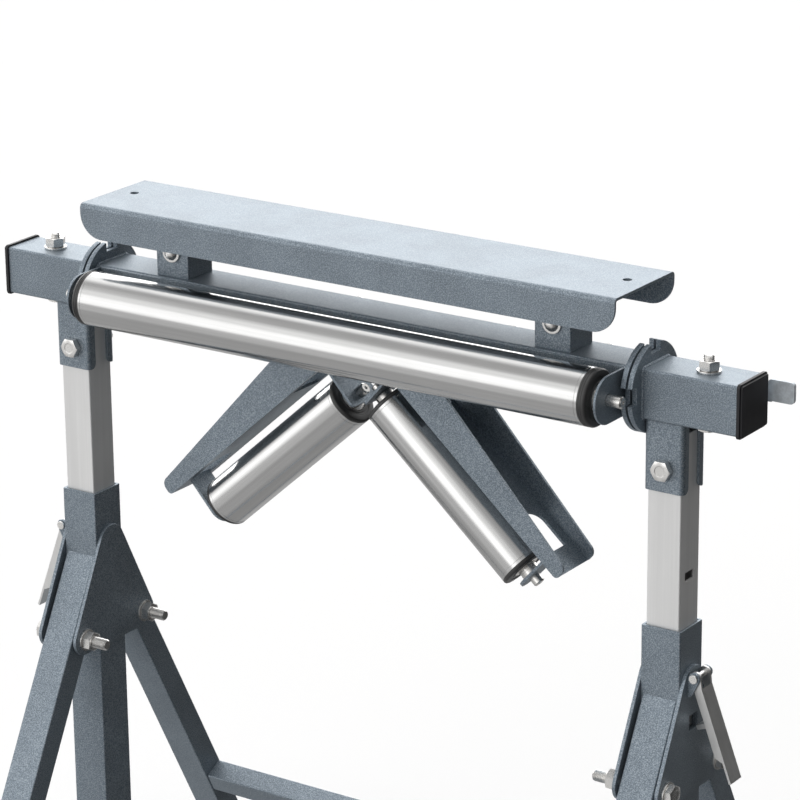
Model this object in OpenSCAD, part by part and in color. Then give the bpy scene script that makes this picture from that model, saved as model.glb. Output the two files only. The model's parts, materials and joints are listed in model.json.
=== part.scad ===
// Work support stand: a turning four-sided head on two telescopic posts with folding legs.
// Sizes are in millimetres. X runs along the head, Y points away from the user, Z is up,
// and the origin lies on the floor midway between the two posts.

/* [Stand] */
// Height of the head's turning axis above the floor
axis_h = 760; // [720:10:820]
// Distance of each post centre outward from the end of the turning head
post_out = 32.25; // [31.5:0.25:37]
// Outer width of the fixed square posts
outer_w = 43.5; // [43:0.25:44.5]
// Wall of the fixed square posts
outer_wall = 3; // [2.5:0.1:3]
// Depth of the fixed posts' upper ends below the turning axis
outer_top = 235; // [230:1:240]
// Height of the fixed posts' lower ends above the floor
outer_foot = 150; // [140:5:200]
// Outer width of the sliding square posts
inner_w = 36.5; // [36:0.1:36.7]
// Wall of the sliding square posts
inner_wall = 2; // [1.5:0.1:2.5]
// Depth of the sliding posts' upper ends below the turning axis
inner_top = 38; // [34:1:44]
// Length of the sliding posts below their lowest slot
inner_tail = 40; // [30:1:50]
// Outer corner radius of the post tubes
post_corner = 1.6; // [1.2:0.1:2]

/* [Height slots and latches] */
// Distance between two height slots
slot_pitch = 75; // [72:1:78]
// Number of height slots in each sliding post
slot_count = 6; // [4:1:6]
// Depth of the uppermost slot below the turning axis
slot_first = 183; // [180:1:186]
// Width of a height slot
slot_w = 16.6; // [15:0.2:18]
// Height of a height slot
slot_h = 9; // [8.5:0.5:10]
// Distance of the latch pivot from the post centre
latch_out = 32.75; // [32.4:0.05:33.2]
// Distance from the latch pivot down to its tooth
latch_drop = 50; // [49:0.5:51]
// Angle at which the released latch stands off the post
latch_open = 20.5; // [19:0.5:22]
// Width of the latch over its two cheeks
latch_w = 21; // [20:0.5:22]
// Sheet thickness of the latch
latch_t = 2.5; // [2:0.1:2.8]
// Radius of the latch cheeks round the pivot
latch_eye = 6; // [5.5:0.1:6.2]
// Distance of the latch's back outside the pivot
latch_back = 3; // [2.6:0.1:4]
// Length of the latch cheeks below the pivot
cheek_l = 88; // [80:1:92]
// Length of the whole latch below the pivot
latch_l = 110; // [100:1:114]
// Width of the latch tooth
tooth_w = 12; // [10:0.5:13]
// Height of the latch tooth
tooth_h = 5; // [4:0.5:5]
// How far the tooth reaches in from the pivot line
tooth_reach = 18.8; // [18:0.2:19.2]
// Height of the latch window in the fixed post and its side plate
window_h = 16; // [15:0.5:18]
// Diameter of the latch pivot pin
latch_pin_d = 6; // [5:0.5:6]
// Diameter of the pin's heads
pin_head_d = 9; // [8:0.5:10]

/* [Legs] */
// Angle of each leg to the vertical
leg_angle = 27.5; // [26:0.5:29]
// Distance of each leg bolt from the post centre plane
leg_bolt_y = 50.4; // [49:0.2:52]
// Depth of the leg bolts below the turning axis
leg_bolt_down = 391; // [388:1:396]
// Width of the leg tube along the head
leg_w = 38; // [36:0.5:39]
// Depth of the leg tube
leg_d = 28; // [25:0.5:30]
// Wall of the leg tube
leg_wall = 2; // [1.5:0.1:3]
// Height of the cut lower end of the leg tube inside its foot
foot_sole = 6; // [4:1:8]
// Wall of the rubber foot
foot_wall = 3; // [2:0.5:4]
// Length of the rubber foot along the leg
foot_l = 38; // [32:1:46]
// Width of the square tube between the two legs
cross_w = 25; // [22:1:28]
// Height of the cross tube above the floor
cross_h = 120; // [100:5:150]
// Thickness of the side plates that carry the legs
gusset_t = 4; // [3:0.5:4]
// Radius of the rounded top of a side plate
gusset_top_r = 20; // [18:0.5:20.5]
// Depth of that rounding's centre below the turning axis
gusset_top_down = 295; // [292:1:298]
// Radius of a side plate round each leg bolt
gusset_low_r = 17.3; // [16:0.1:18.5]

/* [Head beam] */
// Width of the square head beam
beam_w = 50; // [49:0.5:51]
// Wall of the head beam
beam_wall = 3; // [2.5:0.1:3.5]
// Outer corner radius of the head beam
beam_corner = 2; // [1.6:0.1:2.4]
// Offset of the turning head to the right
head_off = 3; // [0:0.5:3.5]
// Space between the long roller's bracket and each turning disc
bracket_gap = 4; // [3:0.5:4.5]
// How far a stub's outer end lies beyond its upright bolt
stub_over = 44; // [41:1:51]
// Thickness of a plastic end cap outside the tube
cap_t = 5.5; // [5:0.5:7]
// Overhang of an end cap round its tube
cap_over = 2; // [1:0.5:2]
// Length of the cap's plug inside the tube
cap_plug = 12; // [8:1:14]
// Diameter of the notched discs
disc_d = 90; // [88:0.5:92]
// Thickness of a notched disc
disc_t = 5.5; // [5:0.1:6]
// Gap between the fixed and the turning disc
disc_gap = 2; // [1.6:0.1:2.2]
// Width of a disc notch
notch_w = 17; // [16:0.5:18]
// Depth of a disc notch
notch_d = 10; // [9:0.5:10.5]
// Diameter of the pivot bar
pivot_d = 24; // [22:0.5:26]
// Length of the bush welded inside the beam end
bush_l = 20; // [16:1:24]
// Distance of each upright stub bolt outward from its post
bolt_out = 35.75; // [32.75:1:38.75]

/* [Head lock] */
// Height of the lock bar
lock_h = 13.5; // [12:0.5:14]
// Thickness of the lock bar
lock_t = 4; // [3.5:0.1:4.5]
// Distance of the lock bar's near face behind the axis
lock_y = 36; // [35.5:0.1:37]
// Travel of the lock bar
lock_travel = 10; // [9.5:0.5:12]
// Height of the lock bar's grip
grip_h = 21.5; // [18:0.5:24]
// Length of the lock bar's grip
grip_l = 28; // [22:1:30]
// Height of the grip's middle over the middle of the bar
grip_up = 5; // [0:0.5:6]
// Corner radius of the grip
grip_r = 4; // [3:0.5:5]
// Distance of the released bar's inner end behind the fixed disc's inner face
lock_clear = 0.5; // [0.3:0.1:1.5]
// How far inside the stub's outer end the grip begins
grip_in = 1; // [-7:1:5]
// Thickness of each guide wall
guide_t = 6; // [4:0.5:8]

/* [Support plate] */
// Length of the support plate
plate_l = 640; // [630:2:644]
// Distance of the plate's front face from the axis
plate_front = 48; // [46:0.5:50]
// Distance of the plate's rear face from the axis
plate_back = 64; // [60:0.5:66]
// Height of the plate's upper face over the axis
plate_top = 96; // [94:0.5:100]
// Sheet thickness of the plate
plate_t = 3; // [2.5:0.1:3.5]
// Height of the plate with its flanges
flange_h = 36; // [34:0.5:38]
// Radius of the flanges' lower corners
flange_r = 26; // [22:1:28]
// Outer bend radius of the sheet parts
bend_r = 5; // [4.5:0.1:6]
// Diameter of the fixing holes in the plate
plate_hole_d = 9; // [6:0.5:11]
// Distance of each fixing hole from the plate's end
plate_hole_in = 23; // [20:1:30]
// Distance of the fixing holes behind the axis
plate_hole_y = 14; // [8:1:18]
// Width of the two square support blocks
block_w = 41; // [38:0.5:42]
// Wall of the support blocks
block_wall = 2.5; // [2:0.1:3]
// Distance of each block from the middle between the blocks
block_x = 229; // [215:1:240]
// Offset of the pair of blocks to the right
block_off = 6; // [0:1:8]
// Height of the block bolt over the beam
block_bolt_up = 26.5; // [24:0.5:29]

/* [Rollers] */
// Outer diameter of the long roller
long_d = 57; // [55:0.5:58]
// Outer diameter of the inclined rollers
roller_d = 54; // [52:0.5:56]
// Wall of the roller tubes
roller_wall = 2; // [1.5:0.1:2.5]
// Diameter of the roller axles
axle_d = 12; // [11:0.5:12.5]
// Radial running clearance on the axles and the pivot bar
run_fit = 0.05; // [0.03:0.01:0.08]
// Distance of the long roller's axle in front of the turning axis
long_y = 58.5; // [58:0.5:60]
// Half length of the long roller over its caps
long_half = 307.5; // [305:0.5:308]
// Thickness of the long roller's caps outside the tube
long_cap_t = 8; // [5:0.5:9]
// Thickness of an inclined roller's caps outside the tube
rcap_t = 4; // [3:0.5:5]
// Bevel of the roller caps
rcap_bevel = 2; // [1:0.5:2.5]
// Depth of a roller cap inside the tube
rcap_plug = 12; // [10:0.5:14]
// Diameter of the ball bearing in each cap
bearing_d = 28; // [26:0.5:30]
// Width of the ball bearing
bearing_w = 8; // [7:0.5:9]
// Diameter of the steel collar beside each cap
collar_d = 20; // [18:0.5:22]
// Space between the long roller and each lug of its bracket
lug_gap = 7; // [5:0.5:8]
// Sheet thickness of the roller bracket and the inclined arms
sheet_t = 3; // [2.5:0.1:3.2]
// Height of the long roller's bracket
bracket_h = 48; // [46:0.5:50]
// Overhang of the long axle beyond each lug
axle_over = 16; // [12:0.5:17]

/* [Inclined arms] */
// Offset of the arms' meeting point from the middle of the head
v_off = 11.7; // [9:0.1:14]
// Angle of the arms below the horizontal
v_angle = 41.5; // [40.5:0.5:42.5]
// Width of each arm over its flanges
arm_w = 59; // [57:0.5:61]
// Distance of the arms' roller side above their meeting point
arm_face = 0.5; // [0:0.1:1]
// Distance of the inclined axles from the arm face
axle_drop = 39.5; // [38:0.5:41]
// Distance of an arm's tip from the meeting point
arm_tip = 312; // [309:1:318]
// Corner radius of an arm's tip beside its face
tip_r = 5; // [3:0.5:6]
// How much further out the left arm stands than the right arm
left_out = 8; // [0:1:10]
// Flange height at the tip
tip_h = 17; // [15:0.5:19]
// Flange height at the root
root_h = 44; // [40:0.5:46]
// Distance of the upper lug's roller side from the meeting point
lug_near = 50.6; // [50.2:0.2:51.6]
// Distance of the lower lug's roller side from the meeting point
lug_far = 286.4; // [285.4:0.2:287.8]
// Half width and end radius of the lower lugs
lug_r = 16; // [15:0.5:17]
// Length of the punched opening that a lower lug leaves
lug_cut = 46; // [42:0.5:50]
// Width of the upper lugs
root_lug_w = 46; // [44:0.5:48]
// Length of an upper lug with its fold
root_lug_l = 53.5; // [52:0.5:56]
// Corner radius of the upper lugs
root_lug_r = 5; // [3:0.5:8]
// Length of the inclined rollers over their caps
short_l = 218; // [214:1:219]
// Overhang of an inclined axle beyond each lug
short_over = 9; // [7:0.5:10]

/* [Ball transfer units] */
// Outer diameter of a ball cup
cup_d = 34; // [32:0.5:35]
// Height of a ball cup
cup_h = 25; // [23:0.5:27]
// Diameter of the ball
ball_d = 22; // [20:0.5:23]
// Height of the ball over the cup's rim
ball_out = 7; // [6:0.5:8]
// Wall of the cup's lip at its rim
cup_lip = 2; // [1.5:0.1:2.5]
// Distance of the two middle cups from the middle of the head
cup_mid = 38; // [36:1:40]
// Distance between the cups on the right
cup_pitch = 110; // [105:1:112]
// Distance of the cup at the left end from the middle of the head
cup_far = 292; // [286:1:296]

/* [Post brackets and fasteners] */
// Outer width of a post bracket
clip_w = 43; // [42.8:0.1:43.2]
// Sheet thickness of a post bracket
clip_t = 3; // [2.8:0.1:3]
// Depth of a bracket's side walls
clip_side = 11; // [10:0.5:14]
// Radius of the brackets' lower corners
clip_r = 6; // [4:0.5:7]
// Depth of the brackets' lower ends below the turning axis
clip_low = 96; // [94:1:100]
// Depth of the bracket bolt below the turning axis
clip_bolt_down = 73; // [70:1:76]
// Diameter of the large bolts
bolt_d = 12; // [11:0.5:12.5]
// Width across the flats of the large bolt heads and nuts
hex_w = 19; // [18:0.5:20]
// Height of a large bolt head
head_h = 7.5; // [7:0.5:8]
// Height of a large nut
nut_h = 10; // [9:0.5:11]
// Diameter of the large washers
washer_d = 24; // [23:0.5:25]
// Thickness of all washers
washer_t = 2.5; // [2:0.1:2.5]
// Overhang of a large bolt beyond its nut
bolt_over = 5; // [4:0.5:9]
// Overhang of a leg bolt beyond its nut
leg_bolt_over = 17; // [12:0.5:18]
// Radial clearance of a bolt in its hole
hole_fit = 0.5; // [0.3:0.1:0.8]
// Diameter of the block bolts
small_d = 10; // [8:0.5:10]
// Diameter of the block bolts' round heads
dome_d = 16; // [15:0.5:17]
// Height of the block bolts' round heads
dome_h = 5; // [4:0.5:6]
// Diameter of the block bolts' washers
small_washer_d = 21; // [20:0.5:22]
// Width across the flats of the block bolts' nuts
small_hex_w = 16; // [15:0.5:17]
// Height of the block bolts' nuts
small_nut_h = 8; // [7:0.5:9]
// Gap between parts that move past each other
gap = 0.3; // [0.25:0.01:0.35]

/* [Hidden] */
// Share of its circle's radius at which a strap's corner lies, so that it ends inside the circle
strap_hold = 0.999;
$fn = 48;
half = beam_w / 2;
outer_half = outer_w / 2;
inner_half = inner_w / 2;
big = axis_h;
steel_paint = [0.36, 0.41, 0.47];
bright_steel = [0.78, 0.78, 0.76];
zinc = [0.82, 0.82, 0.8];
plastic = [0.08, 0.08, 0.09];
rubber = [0.05, 0.05, 0.05];
head_half = long_half + lug_gap + sheet_t + bracket_gap + disc_t;
post_x = head_half + post_out;
stub_bolt_x = post_x + bolt_out;
stub_out = stub_bolt_x + stub_over;
grip_x = stub_out - grip_in;
fixed_disc_x = head_half + disc_gap;
stub_x = fixed_disc_x + disc_t;
turning_disc_x = head_half - disc_t;
plate_under = plate_top - plate_t;
gusset_x = outer_half + gusset_t;
inner_l = slot_first - inner_top + (slot_count - 1) * slot_pitch + inner_tail;
latch_z = slot_first + (3 - 1) * slot_pitch - latch_drop;
lock_inner = fixed_disc_x + lock_clear;
guide_far = grip_x - lock_travel - beam_wall;
guide_near = guide_far - guide_t - lock_travel - lock_t - 3 * gap;
lock_pin_x = guide_far - guide_t - lock_t / 2 - gap;
short_mid = (lug_near + lug_far) / 2;
lug_x = long_half + lug_gap;
plate_hole_x = plate_l / 2 - plate_hole_in;
clip_out = inner_half + clip_t;

// The profile runs in the Y-Z plane and is drawn out along X from x0
module along_x(x0, len) {
    translate([x0, 0, 0])
        rotate([90, 0, 90])
            linear_extrude(len)
                children();
}

// The profile runs in the X-Z plane and is drawn out along Y from y0
module along_y(y0, len) {
    translate([0, y0 + len, 0])
        rotate([90, 0, 0])
            linear_extrude(len)
                children();
}

// A block between two values on each axis
module block(x0, x1, y0, y1, z0, z1) {
    translate([x0, y0, z0])
        cube([x1 - x0, y1 - y0, z1 - z0]);
}

// A rectangle on its centre with round corners
module round_rect(w, d, r) {
    square([w - 2 * r, d], center = true);
    square([w, d - 2 * r], center = true);
    for (sx = [-1, 1])
        for (sy = [-1, 1])
            translate([sx * (w / 2 - r), sy * (d / 2 - r)])
                circle(r);
}

// The section of a rectangular tube with round corners
module tube_section(w, d, wall, r) {
    difference() {
        round_rect(w, d, r);
        square([w - 2 * wall, d - 2 * wall], center = true);
    }
}

// Two circles joined by their outer tangents
module strap(p, rp, q, rq) {
    run = q - p;
    turn = atan2(run[1], run[0]);
    lean = acos((rp - rq) / norm(run));
    translate(p)
        circle(rp);
    translate(q)
        circle(rq);
    polygon([
        p + strap_hold * rp * [cos(turn + lean), sin(turn + lean)],
        p + strap_hold * rp * [cos(turn - lean), sin(turn - lean)],
        q + strap_hold * rq * [cos(turn - lean), sin(turn - lean)],
        q + strap_hold * rq * [cos(turn + lean), sin(turn + lean)]
    ]);
}

// A cylinder along X from x0
module rod_x(x0, len, d) {
    translate([x0, 0, 0])
        rotate([0, 90, 0])
            cylinder(h = len, d = d);
}

// A cylinder along Y from y0
module rod_y(y0, len, d) {
    translate([0, y0, 0])
        rotate([-90, 0, 0])
            cylinder(h = len, d = d);
}

// A six-sided prism standing on z = 0, measured across its flats
module hex_prism(across, h) {
    cylinder(h = h, d = across / cos(180 / 6), $fn = 6);
}

// A flat ring standing on z = 0
module ring(d, bore, h) {
    difference() {
        cylinder(h = h, d = d);
        translate([0, 0, -h])
            cylinder(h = 3 * h, d = bore);
    }
}

// Both the left and the right copy
module both_sides() {
    for (side = [0, 1])
        mirror([side, 0, 0])
            children();
}

// Places something drawn about the head's own middle on its turning axis
module head_place() {
    translate([head_off, 0, axis_h])
        children();
}

// The fixed post, with the latch window on its outer side
module outer_post() {
    difference() {
        translate([post_x, 0, outer_foot])
            linear_extrude(axis_h - outer_top - outer_foot)
                tube_section(outer_w, outer_w, outer_wall, post_corner);
        latch_window();
    }
}

// The opening through which a latch tooth reaches the sliding post
module latch_window() {
    tooth_z = axis_h - latch_z - latch_drop;
    block(post_x + inner_half - inner_wall, post_x + outer_half + 2 * gusset_t,
        -slot_w / 2, slot_w / 2,
        tooth_z - window_h / 2 - gap, tooth_z + window_h / 2 - gap);
}

module outer_post_left() {
    color(steel_paint)
        mirror([1, 0, 0])
            outer_post();
}

module outer_post_right() {
    color(steel_paint)
        outer_post();
}

// The outline of a side plate, with its apex up
module gusset_outline() {
    top = [0, axis_h - gusset_top_down];
    low = axis_h - leg_bolt_down;
    strap(top, gusset_top_r, [leg_bolt_y, low], gusset_low_r);
    strap(top, gusset_top_r, [-leg_bolt_y, low], gusset_low_r);
    strap([-leg_bolt_y, low], gusset_low_r, [leg_bolt_y, low], gusset_low_r);
    polygon([top, [leg_bolt_y, low], [-leg_bolt_y, low]]);
}

// A side plate with its two leg bolt holes and its plug hole
module gusset(x0) {
    difference() {
        along_x(x0, gusset_t)
            gusset_outline();
        for (side = [-1, 1])
            translate([0, side * leg_bolt_y, axis_h - leg_bolt_down])
                rod_x(x0 - gusset_t, 3 * gusset_t, bolt_d + 2 * hole_fit);
        translate([0, 0, axis_h - gusset_top_down])
            rod_x(x0 - gusset_t, 3 * gusset_t, bolt_d);
    }
}

module gussets_inner() {
    color(steel_paint)
        both_sides()
            gusset(post_x - gusset_x);
}

module gussets_outer() {
    color(steel_paint)
        both_sides()
            difference() {
                gusset(post_x + outer_half);
                latch_window();
            }
}

// Plug welds that hold the side plates to the fixed posts
module gusset_plugs() {
    color(steel_paint)
        both_sides()
            for (x0 = [post_x - gusset_x, post_x + outer_half])
                translate([0, 0, axis_h - gusset_top_down])
                    rod_x(x0, gusset_t, bolt_d);
}

// Places something at each of the four leg bolts, drawn for the right-hand post
module at_leg_bolts() {
    both_sides()
        for (side = [-1, 1])
            translate([post_x, side * leg_bolt_y, axis_h - leg_bolt_down])
                rotate([0, -90, 0])
                    children();
}

// Leg bolts: the head stands outside and the thread end points inward
module leg_bolts() {
    color(zinc)
        at_leg_bolts() {
            translate([0, 0, -gusset_x - washer_t - head_h])
                hex_prism(hex_w, head_h);
            translate([0, 0, -gusset_x - washer_t])
                cylinder(h = 2 * gusset_x + 2 * washer_t + nut_h + leg_bolt_over, d = bolt_d);
        }
}

module leg_washers() {
    color(zinc)
        at_leg_bolts() {
            translate([0, 0, gusset_x])
                ring(washer_d, bolt_d, washer_t);
            translate([0, 0, -gusset_x - washer_t])
                ring(washer_d, bolt_d, washer_t);
        }
}

module leg_nuts() {
    color(zinc)
        at_leg_bolts()
            translate([0, 0, gusset_x + washer_t])
                difference() {
                    hex_prism(hex_w, nut_h);
                    translate([0, 0, -nut_h])
                        cylinder(h = 3 * nut_h, d = bolt_d);
                }
}

// The two ears that carry a latch pin, welded to the outer side plate
module latch_ears() {
    ear_in = latch_w / 2 + gap;
    color(steel_paint)
        both_sides()
            for (side = [0, 1])
                mirror([0, side, 0])
                    translate([0, 0, axis_h - latch_z])
                        difference() {
                            along_y(ear_in, latch_t)
                                intersection() {
                                    strap([post_x + latch_out, 0], latch_eye,
                                        [post_x + gusset_x, -2 * latch_eye - latch_t], latch_eye);
                                    translate([post_x + gusset_x, -big])
                                        square(2 * big);
                                }
                            translate([post_x + latch_out, 0, 0])
                                rod_y(0, latch_w, latch_pin_d);
                        }
}

module latch_pins() {
    pin_l = latch_w + 2 * gap + 2 * latch_t;
    color(zinc)
        both_sides()
            translate([post_x + latch_out, 0, axis_h - latch_z]) {
                rod_y(-pin_l / 2 - latch_t, pin_l + 2 * latch_t, latch_pin_d);
                for (side = [0, 1])
                    mirror([0, side, 0])
                        rod_y(pin_l / 2, latch_t, pin_head_d);
            }
}

// The side outline of a latch cheek, with the eye at the origin and a slanting lower end
module cheek_outline() {
    circle(latch_eye);
    polygon([
        [-latch_eye, 0],
        [latch_eye, 0],
        [latch_back, -2 * latch_eye],
        [latch_back, -cheek_l],
        [latch_back - latch_t, -cheek_l],
        [-latch_eye, latch_eye - cheek_l]
    ]);
}

// A height latch, closed, on its pivot: two cheeks, a back that runs on as a tail, and a tooth
module latch_closed() {
    difference() {
        union() {
            for (side = [0, 1])
                mirror([0, side, 0])
                    along_y(latch_w / 2 - latch_t, latch_t)
                        cheek_outline();
            block(latch_back - latch_t, latch_back, -latch_w / 2, latch_w / 2, -latch_l, -2 * latch_eye);
            block(-tooth_reach, latch_back - latch_t / 2, -tooth_w / 2, tooth_w / 2,
                -latch_drop - tooth_h / 2, -latch_drop + tooth_h / 2);
        }
        rod_y(-latch_w, 2 * latch_w, latch_pin_d + 2 * run_fit);
    }
}

// A latch in its released position on the right-hand post
module latch_released() {
    translate([post_x + latch_out, 0, axis_h - latch_z])
        rotate([0, -latch_open, 0])
            latch_closed();
}

module latch_left() {
    color(zinc)
        mirror([1, 0, 0])
            latch_released();
}

module latch_right() {
    color(zinc)
        latch_released();
}

// Turns the vertical at a front leg bolt into the leg's own direction
module at_front_leg() {
    translate([0, -leg_bolt_y, axis_h - leg_bolt_down])
        rotate([-leg_angle, 0, 0])
            children();
}

// One front leg at the right-hand post, cut flat at the post and at the floor
module front_leg() {
    difference() {
        at_front_leg()
            translate([post_x, 0, -big])
                linear_extrude(2 * big)
                    tube_section(leg_w, leg_d, leg_wall, post_corner);
        block(0, 2 * post_x, -outer_half - gap, big, 0, 2 * big);
        block(0, 2 * post_x, -2 * big, big, -2 * big, foot_sole);
        block(0, 2 * post_x, -big, big, axis_h - gusset_top_down, 2 * big);
        at_front_leg()
            rod_x(0, 2 * post_x, bolt_d + 2 * run_fit);
    }
}

// The cross tube between the two front legs
module front_cross() {
    reach = post_x - leg_w / 2;
    run = axis_h - leg_bolt_down - cross_h;
    at_front_leg()
        translate([0, 0, -run / cos(leg_angle)])
            along_x(-reach, 2 * reach)
                tube_section(cross_w, cross_w, leg_wall, post_corner);
}

// The rubber foot of the right-hand front leg
module front_foot() {
    run = (axis_h - leg_bolt_down) / cos(leg_angle);
    difference() {
        at_front_leg()
            translate([post_x, 0, -run - foot_l])
                linear_extrude(2 * foot_l)
                    round_rect(leg_w + 2 * foot_wall, leg_d + 2 * foot_wall, post_corner);
        difference() {
            at_front_leg()
                translate([post_x, 0, -big])
                    linear_extrude(2 * big)
                        round_rect(leg_w, leg_d, post_corner);
            block(0, 2 * post_x, -big, big, -big, foot_sole);
        }
        block(0, 2 * post_x, -big, big, -big, 0);
    }
}

module front_legs() {
    color(steel_paint)
        both_sides()
            front_leg();
}

module front_cross_tube() {
    color(steel_paint)
        front_cross();
}

module front_feet() {
    color(rubber)
        both_sides()
            front_foot();
}

module rear_legs() {
    color(steel_paint)
        mirror([0, 1, 0])
            both_sides()
                front_leg();
}

module rear_cross_tube() {
    color(steel_paint)
        mirror([0, 1, 0])
            front_cross();
}

module rear_feet() {
    color(rubber)
        mirror([0, 1, 0])
            both_sides()
                front_foot();
}

// The sliding post, with height slots on its outer side and a hole for the bracket bolt
module inner_post() {
    difference() {
        translate([post_x, 0, axis_h - inner_top - inner_l])
            linear_extrude(inner_l)
                tube_section(inner_w, inner_w, inner_wall, post_corner);
        for (i = [0 : slot_count - 1])
            translate([0, 0, axis_h - slot_first - i * slot_pitch])
                block(post_x, post_x + inner_w, -slot_w / 2, slot_w / 2, -slot_h / 2, slot_h / 2);
        translate([post_x, 0, axis_h - clip_bolt_down])
            rod_y(-inner_w, 2 * inner_w, bolt_d + 2 * hole_fit);
    }
}

module inner_post_left() {
    color(bright_steel)
        mirror([1, 0, 0])
            inner_post();
}

module inner_post_right() {
    color(bright_steel)
        inner_post();
}

// A fixed beam stub from near outward, with the hole for its upright bolt
module stub(near) {
    translate([0, 0, axis_h])
        difference() {
            along_x(near, stub_out - near)
                tube_section(beam_w, beam_w, beam_wall, beam_corner);
            translate([stub_bolt_x, 0, -beam_w])
                cylinder(h = 2 * beam_w, d = bolt_d + 2 * hole_fit);
        }
}

module stub_left() {
    color(steel_paint)
        mirror([1, 0, 0])
            stub(stub_x - head_off);
}

module stub_right() {
    color(steel_paint)
        stub(stub_x + head_off);
}

// Plastic caps with a plug that fills the tube and a bevelled face
module stub_caps() {
    bore = beam_w - 2 * beam_wall;
    wide = beam_w + 2 * cap_over;
    color(plastic)
        both_sides()
            translate([0, 0, axis_h]) {
                along_x(stub_out, cap_t - cap_over)
                    round_rect(wide, wide, beam_corner + cap_over);
                along_x(stub_out, cap_t)
                    round_rect(beam_w, beam_w, beam_corner);
                along_x(stub_out - cap_plug, cap_plug)
                    tube_section(bore, bore, beam_wall, beam_corner / 2);
            }
}

// A disc with four notches, standing at x0, with a bore for the pivot bar
module notched_disc(x0, bore) {
    difference() {
        rod_x(x0, disc_t, disc_d, $fn = 96);
        rod_x(x0 - disc_t, 3 * disc_t, bore);
        for (turn = [0 : 90 : 270])
            rotate([turn, 0, 0])
                block(x0 - disc_t, x0 + 2 * disc_t, -notch_w / 2, notch_w / 2,
                    disc_d / 2 - notch_d, disc_d);
    }
}

module fixed_discs() {
    color(steel_paint)
        head_place()
            both_sides()
                notched_disc(fixed_disc_x, pivot_d);
}

module turning_discs() {
    color(steel_paint)
        head_place()
            both_sides()
                notched_disc(turning_disc_x, pivot_d + 2 * run_fit);
}

// A pivot bar from near outward, held in its stub by the upright bolt
module pivot_bar(near) {
    translate([0, 0, axis_h])
        difference() {
            rod_x(near, stub_bolt_x + bolt_d - near, pivot_d);
            translate([stub_bolt_x, 0, -beam_w])
                cylinder(h = 2 * beam_w, d = bolt_d + 2 * hole_fit);
        }
}

module pivot_bars() {
    inner = turning_disc_x - bush_l;
    color(bright_steel) {
        mirror([1, 0, 0])
            pivot_bar(inner - head_off);
        pivot_bar(inner + head_off);
    }
}

// The bushes inside the beam in which the pivot bars turn
module turning_bushes() {
    color(bright_steel)
        head_place()
            both_sides()
                difference() {
                    rod_x(turning_disc_x - bush_l, bush_l, beam_w - 2 * beam_wall);
                    rod_x(turning_disc_x - 2 * bush_l, 3 * bush_l, pivot_d + 2 * run_fit);
                }
}

// A channel that embraces one half of the sliding post, open towards the other half
module clip() {
    difference() {
        translate([post_x, 0, axis_h - clip_low])
            linear_extrude(clip_low - half)
                difference() {
                    round_rect(clip_w, 2 * clip_out, bend_r);
                    square([clip_w - 2 * clip_t, inner_w], center = true);
                    translate([-clip_w, clip_side - clip_out])
                        square([2 * clip_w, 3 * clip_out]);
                }
        translate([post_x, 0, axis_h - clip_bolt_down])
            rod_y(-clip_w, 2 * clip_w, bolt_d + 2 * hole_fit);
        translate([0, clip_side - clip_out - clip_r, axis_h - clip_low + clip_r])
            difference() {
                block(0, 2 * post_x, 0, clip_w, -clip_w, 0);
                rod_x(-post_x, 4 * post_x, 2 * clip_r);
            }
    }
}

module clips_front() {
    color(steel_paint)
        both_sides()
            clip();
}

module clips_rear() {
    color(steel_paint)
        mirror([0, 1, 0])
            both_sides()
                clip();
}

// Places something at each clamp bolt, with Z pointing to the front
module at_clip_bolts() {
    both_sides()
        translate([post_x, 0, axis_h - clip_bolt_down])
            rotate([90, 0, 0])
                children();
}

// Places something at each upright stub bolt
module at_stub_bolts() {
    both_sides()
        translate([stub_bolt_x, 0, axis_h])
            children();
}

// Two clamp bolts through the brackets and two upright bolts through the stubs
module carrier_bolts() {
    color(zinc) {
        at_clip_bolts() {
            translate([0, 0, clip_out])
                hex_prism(hex_w, head_h);
            translate([0, 0, -clip_out - washer_t - nut_h - bolt_over])
                cylinder(h = 2 * clip_out + washer_t + nut_h + bolt_over, d = bolt_d);
        }
        at_stub_bolts() {
            translate([0, 0, -half - head_h])
                hex_prism(hex_w, head_h);
            translate([0, 0, -half])
                cylinder(h = beam_w + washer_t + nut_h + bolt_over, d = bolt_d);
        }
    }
}

module carrier_washers() {
    color(zinc) {
        at_clip_bolts()
            translate([0, 0, -clip_out - washer_t])
                ring(washer_d, bolt_d, washer_t);
        at_stub_bolts()
            translate([0, 0, half])
                ring(washer_d, bolt_d, washer_t);
    }
}

module carrier_nuts() {
    color(zinc) {
        at_clip_bolts()
            translate([0, 0, -clip_out - washer_t - nut_h])
                difference() {
                    hex_prism(hex_w, nut_h);
                    translate([0, 0, -nut_h])
                        cylinder(h = 3 * nut_h, d = bolt_d);
                }
        at_stub_bolts()
            translate([0, 0, half + washer_t])
                difference() {
                    hex_prism(hex_w, nut_h);
                    translate([0, 0, -nut_h])
                        cylinder(h = 3 * nut_h, d = bolt_d);
                }
    }
}

// The guides of the lock bars: two slotted walls on a base behind each stub
module lock_guides() {
    tall = lock_h / 2 + guide_t / 2;
    rear = lock_y + lock_t + guide_t / 2;
    color(steel_paint)
        both_sides()
            translate([0, 0, axis_h])
                difference() {
                    union() {
                        block(guide_near - guide_t, guide_near, half, rear, -tall, tall);
                        block(guide_far - guide_t, guide_far, half, rear, -tall, tall);
                        block(guide_near - guide_t, guide_far, half, half + beam_wall, -tall, tall);
                    }
                    block(0, 2 * guide_far, lock_y - gap, lock_y + lock_t + gap,
                        -lock_h / 2 - gap, lock_h / 2 + gap);
                }
}

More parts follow.
